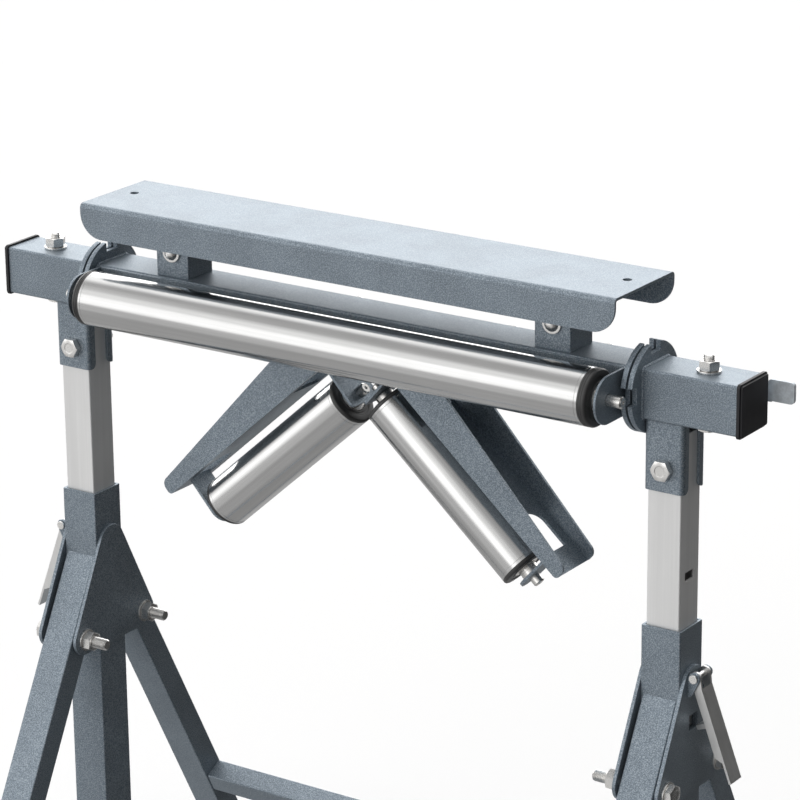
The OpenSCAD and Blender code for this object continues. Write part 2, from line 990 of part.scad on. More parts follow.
// A released lock bar from near outward, with a wider grip at its outer end
module lock_bar(near) {
    translate([0, 0, axis_h])
        difference() {
            union() {
                block(near, grip_x + grip_r, lock_y, lock_y + lock_t, -lock_h / 2, lock_h / 2);
                along_y(lock_y, lock_t)
                    translate([grip_x + grip_l / 2, grip_up])
                        round_rect(grip_l, grip_h, grip_r);
            }
            translate([lock_pin_x, 0, 0])
                rod_y(0, 2 * lock_y, lock_t);
        }
}

// A cross pin that stops a lock bar at its guide
module lock_pin() {
    translate([lock_pin_x, 0, axis_h])
        rod_y(lock_y - lock_t, 3 * lock_t, lock_t);
}

module lock_bar_left() {
    color(zinc)
        mirror([1, 0, 0])
            lock_bar(lock_inner - head_off);
}

module lock_pin_left() {
    color(zinc)
        mirror([1, 0, 0])
            lock_pin();
}

module lock_bar_right() {
    color(zinc)
        lock_bar(lock_inner + head_off);
}

module lock_pin_right() {
    color(zinc)
        lock_pin();
}

module beam() {
    color(steel_paint)
        head_place()
            along_x(-turning_disc_x, 2 * turning_disc_x)
                tube_section(beam_w, beam_w, beam_wall, beam_corner);
}

// The section of the support plate: a channel open downward with bent corners
module plate_section() {
    width = plate_front + plate_back;
    translate([(plate_back - plate_front) / 2, plate_top - flange_h / 2])
        difference() {
            union() {
                translate([0, -bend_r / 2])
                    square([width, flange_h - bend_r], center = true);
                round_rect(width, flange_h, bend_r);
            }
            translate([0, -plate_t])
                round_rect(width - 2 * plate_t, flange_h, bend_r - plate_t);
            translate([0, -plate_t - flange_h / 2])
                square([width - 2 * plate_t, flange_h], center = true);
        }
}

// The support plate with rounded flange ends and two fixing holes
module plate() {
    width = plate_front + plate_back;
    color(steel_paint)
        translate([0, 0, axis_h])
            difference() {
                along_x(-plate_l / 2, plate_l)
                    plate_section();
                both_sides()
                    difference() {
                        block(plate_l / 2 - flange_r, plate_l, -width, width,
                            plate_top - 2 * flange_h, plate_top - flange_h + flange_r);
                        translate([plate_l / 2 - flange_r, 0, plate_top - flange_h + flange_r])
                            rod_y(-2 * width, 4 * width, 2 * flange_r);
                    }
                both_sides()
                    translate([plate_hole_x, plate_hole_y, plate_under - plate_t])
                        cylinder(h = 3 * plate_t, d = plate_hole_d);
            }
}

// Places something at each block bolt, with Z pointing to the front
module at_block_bolts() {
    translate([block_off, 0, axis_h + half + block_bolt_up])
        both_sides()
            translate([block_x, 0, 0])
                rotate([90, 0, 0])
                    children();
}

// Two upright square tubes that carry the plate on the beam
module plate_blocks() {
    color(steel_paint)
        difference() {
            translate([block_off, 0, axis_h + half])
                both_sides()
                    translate([block_x, 0, 0])
                        linear_extrude(plate_under - half)
                            tube_section(block_w, block_w, block_wall, post_corner);
            at_block_bolts()
                translate([0, 0, -block_w])
                    cylinder(h = 2 * block_w, d = small_d + 2 * hole_fit);
        }
}

// Round-headed bolts through the blocks
module block_bolts() {
    shank = block_w + 2 * washer_t + small_nut_h + bolt_over;
    dome_r = (dome_d * dome_d / 4 + dome_h * dome_h) / (2 * dome_h);
    color(zinc)
        at_block_bolts() {
            translate([0, 0, block_w / 2 + washer_t - shank])
                cylinder(h = shank, d = small_d);
            translate([0, 0, block_w / 2 + washer_t])
                intersection() {
                    translate([0, 0, dome_h - dome_r])
                        sphere(r = dome_r);
                    cylinder(h = dome_h, d = dome_d);
                }
        }
}

module block_washers() {
    color(zinc)
        at_block_bolts() {
            translate([0, 0, block_w / 2])
                ring(small_washer_d, small_d, washer_t);
            translate([0, 0, -block_w / 2 - washer_t])
                ring(small_washer_d, small_d, washer_t);
        }
}

module block_nuts() {
    color(zinc)
        at_block_bolts()
            translate([0, 0, -block_w / 2 - washer_t - small_nut_h])
                difference() {
                    hex_prism(small_hex_w, small_nut_h);
                    translate([0, 0, -small_nut_h])
                        cylinder(h = 3 * small_nut_h, d = small_d);
                }
}

// The long roller's bracket: a sheet on the beam's front face with a lug bent forward at each end
module roller_bracket() {
    far_x = lug_x + sheet_t;
    color(steel_paint)
        head_place()
            difference() {
                union() {
                    block(-far_x, far_x, -half - sheet_t, -half, -bracket_h / 2, bracket_h / 2);
                    both_sides()
                        along_x(lug_x, sheet_t) {
                            translate([-long_y, 0])
                                circle(d = bracket_h);
                            translate([-long_y, -bracket_h / 2])
                                square([long_y - half, bracket_h]);
                        }
                }
                translate([0, -long_y, 0])
                    rod_x(-post_x, 2 * post_x, axle_d);
            }
}

module long_axle() {
    reach = lug_x + sheet_t + axle_over;
    color(bright_steel)
        long_place()
            rod_x(-reach, 2 * reach, axle_d);
}

// A roller tube of diameter d on the X axis with its ends at plus and minus reach
module roller_tube(reach, d) {
    difference() {
        rod_x(-reach, 2 * reach, d, $fn = 96);
        rod_x(-2 * reach, 4 * reach, d - 2 * roller_wall, $fn = 96);
    }
}

// A plastic roller cap at the +X end, out by t from a tube of diameter d, with a bearing seat
module roller_cap(reach, d, t) {
    bore_r = axle_d / 2 + cup_lip;
    tube_r = d / 2 - roller_wall;
    rotate([90, 0, 90])
        rotate_extrude($fn = 96)
            polygon([
                [bore_r, reach - t - rcap_plug],
                [tube_r, reach - t - rcap_plug],
                [tube_r, reach - t],
                [d / 2, reach - t],
                [d / 2, reach - rcap_bevel],
                [d / 2 - rcap_bevel, reach],
                [bearing_d / 2, reach],
                [bearing_d / 2, reach - bearing_w],
                [bore_r, reach - bearing_w]
            ]);
}

// A bearing at the +X end, with the collar that keeps it off the lug
module roller_bearing(reach, lug) {
    difference() {
        union() {
            rod_x(reach - bearing_w, bearing_w, bearing_d);
            rod_x(reach - bearing_w, lug - gap - reach + bearing_w, collar_d);
        }
        rod_x(0, 2 * lug, axle_d + 2 * run_fit);
    }
}

module long_place() {
    head_place()
        translate([0, -long_y, 0])
            children();
}

module long_roller_tube() {
    color(bright_steel)
        long_place()
            roller_tube(long_half - long_cap_t, long_d);
}

module long_roller_caps() {
    color(plastic)
        long_place()
            both_sides()
                roller_cap(long_half, long_d, long_cap_t);
}

module long_roller_bearings() {
    color(bright_steel)
        long_place()
            both_sides()
                roller_bearing(long_half, lug_x);
}

// The right-hand arm's own frame: X runs down the arm and Z points away from the roller
module right_arm_frame() {
    translate([v_off, 0, axis_h])
        rotate([0, v_angle, 0])
            children();
}

// The left-hand arm's frame is the mirror image about the meeting point, further out along the arm
module left_arm_frame() {
    translate([2 * v_off, 0, 0])
        mirror([1, 0, 0])
            right_arm_frame()
                translate([left_out, 0, 0])
                    children();
}

// The side outline of an arm, tapered to a rounded tip
module arm_outline() {
    translate([0, arm_face]) {
        strap([beam_w, root_h / 2], root_h / 2, [arm_tip - tip_h / 2, tip_h / 2], tip_h / 2);
        square([beam_w, root_h / 2]);
        translate([arm_tip - tip_h / 2, 0])
            square([tip_h / 2, tip_h / 2]);
    }
}

// What a rounded fold takes off the corner between an arm's face and its tip
module tip_corner() {
    translate([arm_tip - tip_r, 0, arm_face + tip_r])
        difference() {
            block(0, 2 * tip_r, -arm_w, arm_w, -2 * tip_r, 0);
            rod_y(-2 * arm_w, 4 * arm_w, 2 * tip_r);
        }
}

// The lower lug, bent down from the arm's face, with a round end
module low_lug() {
    along_x(lug_far, sheet_t) {
        translate([0, arm_face - axle_drop])
            circle(lug_r);
        translate([-lug_r, arm_face - axle_drop])
            square([2 * lug_r, axle_drop + sheet_t]);
    }
}

// The opening that the lower lug leaves in the arm's face
module low_opening() {
    translate([lug_far, 0, arm_face - sheet_t])
        linear_extrude(3 * sheet_t) {
            translate([lug_r - lug_cut, -lug_r])
                square([lug_cut - lug_r, 2 * lug_r]);
            translate([lug_r - lug_cut, 0])
                circle(lug_r);
        }
}

// The outline of the upper lug and of the opening that it leaves, from its fold at zero
module root_lug_outline() {
    translate([-root_lug_w / 2, 0])
        square([root_lug_w, root_lug_l - root_lug_r]);
    translate([root_lug_r - root_lug_w / 2, 0])
        square([root_lug_w - 2 * root_lug_r, root_lug_l]);
    for (side = [-1, 1])
        translate([side * (root_lug_w / 2 - root_lug_r), root_lug_l - root_lug_r])
            circle(root_lug_r);
}

// The upper lug, bent down from the arm's face
module root_lug() {
    along_x(lug_near - sheet_t, sheet_t)
        translate([0, arm_face + sheet_t])
            mirror([0, 1, 0])
                root_lug_outline();
}

// The opening that the upper lug leaves in the arm's face
module root_opening() {
    translate([lug_near, 0, arm_face - sheet_t])
        linear_extrude(3 * sheet_t)
            rotate(-90)
                root_lug_outline();
}

// An arm: tapered flanges, a face with two punched openings, and the two bent lugs they leave
module arm() {
    difference() {
        union() {
            difference() {
                along_y(-arm_w / 2, arm_w)
                    arm_outline();
                block(-arm_tip, 2 * arm_tip, sheet_t - arm_w / 2, arm_w / 2 - sheet_t,
                    sheet_t + arm_face, 2 * root_h);
            }
            root_lug();
            low_lug();
        }
        root_opening();
        low_opening();
        tip_corner();
        translate([0, 0, arm_face - axle_drop])
            rod_x(0, 2 * arm_tip, axle_d);
    }
}

// Takes away what would stand above the beam's lower face
module below_beam() {
    difference() {
        children();
        block(-post_x, post_x, -beam_w, beam_w, axis_h - half, 2 * axis_h);
    }
}

module arm_left() {
    color(steel_paint)
        below_beam()
            left_arm_frame()
                arm();
}

module arm_right() {
    color(steel_paint)
        below_beam()
            right_arm_frame()
                arm();
}

// An inclined axle in its arm's frame
module short_axle() {
    translate([0, 0, arm_face - axle_drop])
        rod_x(lug_near - sheet_t - short_over, lug_far - lug_near + 2 * sheet_t + 2 * short_over, axle_d);
}

module short_axles() {
    color(bright_steel) {
        left_arm_frame()
            short_axle();
        right_arm_frame()
            short_axle();
    }
}

// The middle of an inclined roller in its arm's frame
module short_place() {
    translate([short_mid, 0, arm_face - axle_drop])
        children();
}

// Both bearings of an inclined roller
module short_bearings() {
    short_place()
        both_sides()
            roller_bearing(short_l / 2, (lug_far - lug_near) / 2);
}

module left_roller_tube() {
    color(bright_steel)
        left_arm_frame()
            short_place()
                roller_tube(short_l / 2 - rcap_t, roller_d);
}

module left_roller_caps() {
    color(plastic)
        left_arm_frame()
            short_place()
                both_sides()
                    roller_cap(short_l / 2, roller_d, rcap_t);
}

module left_roller_bearings() {
    color(bright_steel)
        left_arm_frame()
            short_bearings();
}

module right_roller_tube() {
    color(bright_steel)
        right_arm_frame()
            short_place()
                roller_tube(short_l / 2 - rcap_t, roller_d);
}

module right_roller_caps() {
    color(plastic)
        right_arm_frame()
            short_place()
                both_sides()
                    roller_cap(short_l / 2, roller_d, rcap_t);
}

module right_roller_bearings() {
    color(bright_steel)
        right_arm_frame()
            short_bearings();
}

// Places something at each ball unit, with Z pointing to the rear
module at_cups() {
    for (x = [-cup_far, -cup_mid, cup_mid, cup_mid + cup_pitch, cup_mid + 2 * cup_pitch])
        translate([x, half, axis_h])
            rotate([-90, 0, 0])
                children();
}

// Ball cups on the beam's rear face, hollowed round the ball
module ball_cups() {
    color(zinc)
        at_cups()
            difference() {
                union() {
                    cylinder(h = cup_h - cup_lip, d = cup_d);
                    cylinder(h = cup_h, d = cup_d - 2 * cup_lip);
                }
                translate([0, 0, cup_h + ball_out - ball_d / 2])
                    sphere(d = ball_d + 2 * run_fit);
            }
}

module balls() {
    color(bright_steel)
        at_cups()
            translate([0, 0, cup_h + ball_out - ball_d / 2])
                sphere(d = ball_d);
}

outer_post_left();
outer_post_right();
gussets_inner();
gussets_outer();
gusset_plugs();
leg_bolts();
leg_washers();
leg_nuts();
latch_ears();
latch_pins();
front_legs();
front_cross_tube();
front_feet();
rear_legs();
rear_cross_tube();
rear_feet();
latch_left();
latch_right();
inner_post_left();
inner_post_right();
stub_left();
stub_right();
stub_caps();
fixed_discs();
pivot_bars();
clips_front();
clips_rear();
carrier_bolts();
carrier_washers();
carrier_nuts();
lock_guides();
lock_bar_left();
lock_pin_left();
lock_bar_right();
lock_pin_right();
beam();
turning_discs();
turning_bushes();
plate();
plate_blocks();
block_bolts();
block_washers();
block_nuts();
roller_bracket();
long_axle();
arm_left();
arm_right();
short_axles();
ball_cups();
balls();
long_roller_tube();
long_roller_caps();
long_roller_bearings();
left_roller_tube();
left_roller_caps();
left_roller_bearings();
right_roller_tube();
right_roller_caps();
right_roller_bearings();
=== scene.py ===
"""Work support stand with a turning head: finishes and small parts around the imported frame."""

import json
import logging
import math
import random
from dataclasses import dataclass, field
from enum import Enum
from typing import Callable, ClassVar, Iterable, Sequence

import bmesh
import bpy
from mathutils import Matrix, Vector

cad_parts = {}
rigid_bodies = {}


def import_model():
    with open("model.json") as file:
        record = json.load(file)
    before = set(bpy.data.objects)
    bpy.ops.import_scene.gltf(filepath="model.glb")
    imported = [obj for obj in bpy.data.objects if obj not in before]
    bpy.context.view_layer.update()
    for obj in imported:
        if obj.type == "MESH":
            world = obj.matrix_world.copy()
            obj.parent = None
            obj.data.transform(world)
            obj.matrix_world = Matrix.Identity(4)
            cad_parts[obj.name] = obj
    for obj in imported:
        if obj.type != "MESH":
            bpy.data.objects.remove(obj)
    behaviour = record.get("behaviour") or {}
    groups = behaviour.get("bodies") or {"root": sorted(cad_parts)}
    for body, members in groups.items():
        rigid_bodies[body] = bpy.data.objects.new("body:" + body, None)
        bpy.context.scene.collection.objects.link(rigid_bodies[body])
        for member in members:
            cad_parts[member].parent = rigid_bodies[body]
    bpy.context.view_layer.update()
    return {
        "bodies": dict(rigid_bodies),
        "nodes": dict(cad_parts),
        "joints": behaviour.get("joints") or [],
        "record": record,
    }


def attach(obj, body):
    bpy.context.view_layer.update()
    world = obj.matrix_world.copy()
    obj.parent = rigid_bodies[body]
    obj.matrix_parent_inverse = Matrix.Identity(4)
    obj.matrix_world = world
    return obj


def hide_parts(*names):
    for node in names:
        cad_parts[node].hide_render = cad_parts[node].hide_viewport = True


LOG = logging.getLogger("work_stand")
MM = 0.001
SAME_POINT = 1e-6  # metres within which two points of a frame mesh are one
SAME_NEW_POINT = 1e-7  # metres within which two points of a new mesh are one
RANDOM_SEED = 7

# Points around a ring of a turned mesh
TUBE_STEPS = 128
CAP_STEPS = 96
CUP_STEPS = 64
BOLT_STEPS = 48

Vec3 = tuple[float, float, float]
Rgb = tuple[float, float, float]
Profile = Sequence[tuple[float, float]]
Ring = Callable[[float], tuple[float, float]]


class Along(Enum):
    """The direction in which a metal was drawn, ground or turned."""

    X = "x"
    Y = "y"
    Z = "z"
    RIGHT_ARM = "right arm"
    LEFT_ARM = "left arm"


class Body(Enum):
    """The moving groups of the stand."""

    BASE = "base"
    FRONT_LEGS = "front_leg_frame"
    REAR_LEGS = "rear_leg_frame"
    LEFT_LATCH = "left_latch"
    RIGHT_LATCH = "right_latch"
    CARRIER = "carrier"
    LEFT_LOCK = "left_head_lock"
    RIGHT_LOCK = "right_head_lock"
    HEAD = "head"
    LONG_ROLLER = "long_roller"
    LEFT_ROLLER = "left_roller"
    RIGHT_ROLLER = "right_roller"


# Shader building blocks


class NodeSheet:
    """A node tree with short calls for adding nodes and joining them."""

    def __init__(self, tree: bpy.types.NodeTree) -> None:
        """Keep the tree.

        Args:
            tree: The tree that the nodes go in.
        """
        self.tree = tree

    def add(self, kind: str, **values: object) -> bpy.types.Node:
        """Add a node.

        Args:
            kind: The node's type name.
            **values: Attributes of the node, or inputs when the name has a socket.

        Returns:
            The new node.
        """
        node = self.tree.nodes.new(kind)
        for name, value in values.items():
            socket = name.replace("_", " ")
            if hasattr(node, name):
                setattr(node, name, value)
            else:
                node.inputs[socket].default_value = value
        return node

    def join(self, source: bpy.types.NodeSocket, target: bpy.types.NodeSocket) -> None:
        """Join two sockets."""
        self.tree.links.new(source, target)

    def ramp(self, source: bpy.types.NodeSocket, low: float, high: float,
             to_low: float = 0.0, to_high: float = 1.0) -> bpy.types.NodeSocket:
        """Map a range of values to another one, smoothly and clamped.

        Args:
            source: The value.
            low: The value that gives to_low.
            high: The value that gives to_high.
            to_low: The lowest result.
            to_high: The highest result.

        Returns:
            The mapped value.
        """
        node = self.add("ShaderNodeMapRange", interpolation_type="SMOOTHSTEP", From_Min=low,
                        From_Max=high, To_Min=to_low, To_Max=to_high)
        self.join(source, node.inputs["Value"])
        return node.outputs["Result"]

    def math(self, operation: str, first: object, second: object = 0.0) -> bpy.types.NodeSocket:
        """Combine two values.

        Args:
            operation: The operation of the Math node.
            first: A socket or a number.
            second: A socket or a number.

        Returns:
            The result.
        """
        node = self.add("ShaderNodeMath", operation=operation)
        for slot, value in zip(node.inputs, (first, second)):
            if isinstance(value, bpy.types.NodeSocket):
                self.join(value, slot)
            else:
                slot.default_value = value
        return node.outputs[0]

    def mix(self, factor: object, first: object, second: object,
            blend: str = "MIX") -> bpy.types.NodeSocket:
        """Mix two colours.

        Args:
            factor: A socket or a number.
            first: A socket or a colour.
            second: A socket or a colour.
            blend: The kind of mix.

        Returns:
            The mixed colour.
        """
        node = self.add("ShaderNodeMix", data_type="RGBA", blend_type=blend)
        slots = (node.inputs[0], node.inputs[6], node.inputs[7])
        for slot, value in zip(slots, (factor, first, second)):
            if isinstance(value, bpy.types.NodeSocket):
                self.join(value, slot)
            else:
                slot.default_value = value if isinstance(value, float) else (*value, 1.0)
        return node.outputs[2]

    def blend(self, first: bpy.types.NodeSocket, second: bpy.types.NodeSocket,
              share: float) -> bpy.types.NodeSocket:
        """Add two values by their shares.

        Args:
            first: The value that counts with the share.
            second: The value that counts with the rest.
            share: The first value's share.

        Returns:
            The sum.
        """
        return self.math("ADD", self.math("MULTIPLY", first, share),
                         self.math("MULTIPLY", second, 1.0 - share))

    def noise(self, place: bpy.types.NodeSocket, scale: bpy.types.NodeSocket, cut: float,
              detail: float = 2.0, roughness: float = 0.5) -> bpy.types.NodeSocket:
        """Spread noise over a surface.

        Args:
            place: The coordinates.
            scale: Waves to a metre.
            cut: The share of the range that is cut off at either end.
            detail: The noise's detail.
            roughness: The noise's roughness.

        Returns:
            The noise, with what the cut leaves stretched to the full range.
        """
        node = self.add("ShaderNodeTexNoise", Detail=detail, Roughness=roughness)
        self.join(place, node.inputs["Vector"])
        self.join(scale, node.inputs["Scale"])
        return self.ramp(node.outputs["Fac"], cut, 1.0 - cut)

    def relief(self, shader: bpy.types.Node, height: bpy.types.NodeSocket, strength: float,
               distance: float) -> None:
        """Give a shader a bump.

        Args:
            shader: The shader.
            height: The bump's height.
            strength: How much of the bump is used.
            distance: The bump's depth in metres.
        """
        bump = self.add("ShaderNodeBump", Strength=strength, Distance=distance)
        self.join(height, bump.inputs["Height"])
        self.join(bump.outputs["Normal"], shader.inputs["Normal"])


GroupParts = tuple[bpy.types.NodeTree, NodeSheet, bpy.types.Node, bpy.types.Node]


def new_group(name: str, inputs: Sequence[tuple[str, str, object]],
              outputs: Sequence[tuple[str, str]]) -> GroupParts:
    """Start a shader node group.

    Args:
        name: The group's name.
        inputs: Name, socket kind and start value of each input.
        outputs: Name and socket kind of each output.

    Returns:
        The tree, its sheet, the input node and the output node.
    """
    tree = bpy.data.node_groups.new(name, "ShaderNodeTree")
    for label, kind, start in inputs:
        socket = tree.interface.new_socket(label, in_out="INPUT", socket_type=kind)
        if start is not None:
            socket.default_value = start
    for label, kind in outputs:
        tree.interface.new_socket(label, in_out="OUTPUT", socket_type=kind)
    sheet = NodeSheet(tree)
    return tree, sheet, sheet.add("NodeGroupInput"), sheet.add("NodeGroupOutput")


FLOAT = "NodeSocketFloat"
VECTOR = "NodeSocketVector"


def build_pebble_group() -> bpy.types.NodeTree:
    """Build the fine pebbled relief of the powder coat.

    Returns:
        A group with the relief's height and a slow cloud mask.
    """
    dome_share, dome_reach, grain_rate = 0.3, 0.75, 1.15
    tree, sheet, start, end = new_group(
        "pebbled_coat",
        [("Place", VECTOR, None), ("Pebble Size", FLOAT, 0.002), ("Cloud Size", FLOAT, 0.06)],
        [("Height", FLOAT), ("Clouds", FLOAT)],
    )
    place = start.outputs["Place"]
    scale = sheet.math("DIVIDE", 1.0, start.outputs["Pebble Size"])
    cells = sheet.add("ShaderNodeTexVoronoi", feature="SMOOTH_F1", Smoothness=0.6)
    sheet.join(place, cells.inputs["Vector"])
    sheet.join(scale, cells.inputs["Scale"])
    domes = sheet.ramp(cells.outputs["Distance"], 0.0, dome_reach, 1.0, 0.0)
    grain = sheet.noise(place, sheet.math("MULTIPLY", scale, grain_rate), cut=0.32, detail=3.0,
                        roughness=0.6)
    sheet.join(sheet.blend(domes, grain, dome_share), end.inputs["Height"])
    slow = sheet.math("DIVIDE", 1.0, start.outputs["Cloud Size"])
    sheet.join(sheet.noise(place, slow, cut=0.35), end.inputs["Clouds"])
    return tree


def build_lines_group() -> bpy.types.NodeTree:
    """Build the fine parallel lines of drawn, ground or turned metal.

    Returns:
        A group with line masks at two sizes and a slow cloud mask.
    """
    cut, roughness = 0.3, 0.65
    tree, sheet, start, end = new_group(
        "metal_lines",
        [("Place", VECTOR, None), ("Stretch", VECTOR, (1.0, 1.0, 1.0)),
         ("Line Size", FLOAT, 0.0006), ("Cloud Size", FLOAT, 0.05)],
        [("Fine", FLOAT), ("Broad", FLOAT), ("Clouds", FLOAT)],
    )
    stretched = sheet.add("ShaderNodeVectorMath", operation="MULTIPLY")
    sheet.join(start.outputs["Place"], stretched.inputs[0])
    sheet.join(start.outputs["Stretch"], stretched.inputs[1])
    scale = sheet.math("DIVIDE", 1.0, start.outputs["Line Size"])
    for label, rate, detail in (("Fine", 1.0, 4.0), ("Broad", 0.12, 3.0)):
        lines = sheet.noise(stretched.outputs[0], sheet.math("MULTIPLY", scale, rate), cut,
                            detail, roughness)
        sheet.join(lines, end.inputs[label])
    slow = sheet.math("DIVIDE", 1.0, start.outputs["Cloud Size"])
    sheet.join(sheet.noise(start.outputs["Place"], slow, cut), end.inputs["Clouds"])
    return tree


class Effects:
    """The shared node groups, each built once."""

    _made: dict[str, bpy.types.NodeTree] = {}
    _makers: dict[str, Callable[[], bpy.types.NodeTree]] = {
        "pebbled": build_pebble_group,
        "lines": build_lines_group,
    }

    @classmethod
    def get(cls, name: str) -> bpy.types.NodeTree:
        """Return the named group, built on first use."""
        if name not in cls._made:
            cls._made[name] = cls._makers[name]()
        return cls._made[name]


MaterialParts = tuple[bpy.types.Material, NodeSheet, bpy.types.Node, bpy.types.NodeSocket]


def start_material(name: str) -> MaterialParts:
    """Start a node material.

    Args:
        name: The material's name.

    Returns:
        The material, its sheet, the Principled BSDF and the object coordinates.
    """
    material = bpy.data.materials.new(name)
    material.use_nodes = True
    material.node_tree.nodes.clear()
    sheet = NodeSheet(material.node_tree)
    shader = sheet.add("ShaderNodeBsdfPrincipled")
    output = sheet.add("ShaderNodeOutputMaterial")
    sheet.join(shader.outputs[0], output.inputs["Surface"])
    place = sheet.add("ShaderNodeTexCoord").outputs["Object"]
    return material, sheet, shader, place


def use_effect(sheet: NodeSheet, name: str, place: bpy.types.NodeSocket,
               **values: object) -> bpy.types.Node:
    """Place a shared effect in a material.

    Args:
        sheet: The material's sheet.
        name: The effect's name.
        place: The coordinates.
        **values: The effect's inputs, with spaces written as underscores.

    Returns:
        The group node.
    """
    node = sheet.add("ShaderNodeGroup", node_tree=Effects.get(name))
    sheet.join(place, node.inputs["Place"])
    for label, value in values.items():
        node.inputs[label.replace("_", " ")].default_value = value
    return node


# Finishes


@dataclass(frozen=True)
class PowderCoat:
    """Blue-grey powder coat with a fine pebbled skin."""

    name: str = "pebbled_powder_coat"
    dark: Rgb = (0.162, 0.200, 0.238)
    light: Rgb = (0.366, 0.419, 0.468)
    roughness: float = 0.46
    metallic: float = 0.6
    pebble: float = 0.0012
    bump: float = 0.3
    depth: float = 0.0003
    calm: float = 0.75
    cloud: float = 0.05
    tints: tuple[float, float] = (0.95, 1.04)
    speck: tuple[float, float] = (0.2, 0.85)
    gloss: tuple[float, float] = (0.2, 0.9)
    gloss_swing: tuple[float, float] = (0.06, -0.05)
    graze: tuple[float, float] = (0.35, 0.68)

    def build(self) -> bpy.types.Material:
        """Build the material.

        Returns:
            The finished material.
        """
        material, sheet, shader, place = start_material(self.name)
        coat = use_effect(sheet, "pebbled", place, Pebble_Size=self.pebble, Cloud_Size=self.cloud)
        height = coat.outputs["Height"]
        # Painted sheen effect: toward grazing views the specks fade to the even colour (calm), in
        # place of the sheen that hides the speckle there; this colour depends on the view, not on
        # the coat.
        facing = sheet.add("ShaderNodeLayerWeight").outputs["Facing"]
        calm = sheet.ramp(facing, *self.graze, 0.0, self.calm)
        even = tuple((a + b) / 2.0 for a, b in zip(self.dark, self.light))
        specks = sheet.mix(sheet.ramp(height, *self.speck), self.dark, self.light)
        low, high = ((tint, tint, tint) for tint in self.tints)
        cloud = sheet.mix(coat.outputs["Clouds"], low, high)
        colour = sheet.mix(1.0, sheet.mix(calm, specks, even), cloud, "MULTIPLY")
        sheet.join(colour, shader.inputs["Base Color"])
        rough = sheet.ramp(height, *self.gloss, *(self.roughness + v for v in self.gloss_swing))
        sheet.join(rough, shader.inputs["Roughness"])
        shader.inputs["Metallic"].default_value = self.metallic
        sheet.relief(shader, height, self.bump, self.depth)
        return material


@dataclass(frozen=True)
class LinedMetal:
    """Bare or plated metal whose fine lines run one way; lean turns them about Y, in radians."""

    name: str
    along: Along
    lean: float = 0.0
    base: Rgb = (0.72, 0.72, 0.71)
    shade: float = 0.9
    roughness: float = 0.22
    spread: float = 0.08
    line: float = 0.0005
    pull: float = 60.0
    bump: float = 0.08
    metallic: float = 1.0
    cloud: float = 0.04
    cloud_share: float = 0.4
    depth: float = 0.00005

    def stretch(self) -> Vec3:
        """Return how much each axis is squeezed, so that noise draws out into lines."""
        thin = 1.0 / self.pull
        table = {Along.Y: (1.0, thin, 1.0), Along.Z: (1.0, 1.0, thin)}
        return table.get(self.along, (thin, 1.0, 1.0))

    def build(self) -> bpy.types.Material:
        """Build the material.

        Returns:
            The finished material.
        """
        material, sheet, shader, place = start_material(self.name)
        turn = sheet.add("ShaderNodeVectorRotate", rotation_type="Y_AXIS")
        turn.inputs["Angle"].default_value = self.lean
        sheet.join(place, turn.inputs["Vector"])
        lines = use_effect(sheet, "lines", turn.outputs[0], Stretch=self.stretch(),
                           Line_Size=self.line, Cloud_Size=self.cloud)
        fine, clouds = lines.outputs["Fine"], lines.outputs["Clouds"]
        dark = tuple(v * self.shade for v in self.base)
        colour = sheet.mix(lines.outputs["Broad"], dark, self.base)
        colour = sheet.mix(sheet.math("MULTIPLY", clouds, self.cloud_share), colour, dark)
        sheet.join(colour, shader.inputs["Base Color"])
        shader.inputs["Metallic"].default_value = self.metallic
        rough = sheet.ramp(sheet.blend(clouds, fine, self.cloud_share), 0.0, 1.0,
                           self.roughness - self.spread / 2, self.roughness + self.spread / 2)
        sheet.join(rough, shader.inputs["Roughness"])
        sheet.relief(shader, fine, self.bump, self.depth)
        return material


@dataclass(frozen=True)
class MouldedBlack:
    """Black moulded plastic or rubber with a faint grain."""

    name: str
    base: Rgb = (0.006, 0.006, 0.008)
    roughness: float = 0.48
    grain: float = 0.0009
    bump: float = 0.15
    depth: float = 0.00012
    cloud: float = 0.03
    worn: float = 1.7
    swing: tuple[float, float] = (-0.05, 0.07)

    def build(self) -> bpy.types.Material:
        """Build the material.

        Returns:
            The finished material.
        """
        material, sheet, shader, place = start_material(self.name)
        skin = use_effect(sheet, "pebbled", place, Pebble_Size=self.grain, Cloud_Size=self.cloud)
        clouds = skin.outputs["Clouds"]
        lighter = tuple(v * self.worn for v in self.base)
        sheet.join(sheet.mix(clouds, self.base, lighter), shader.inputs["Base Color"])
        rough = sheet.ramp(clouds, 0.0, 1.0, *(self.roughness + v for v in self.swing))
        sheet.join(rough, shader.inputs["Roughness"])
        sheet.relief(shader, skin.outputs["Height"], self.bump, self.depth)
        return material


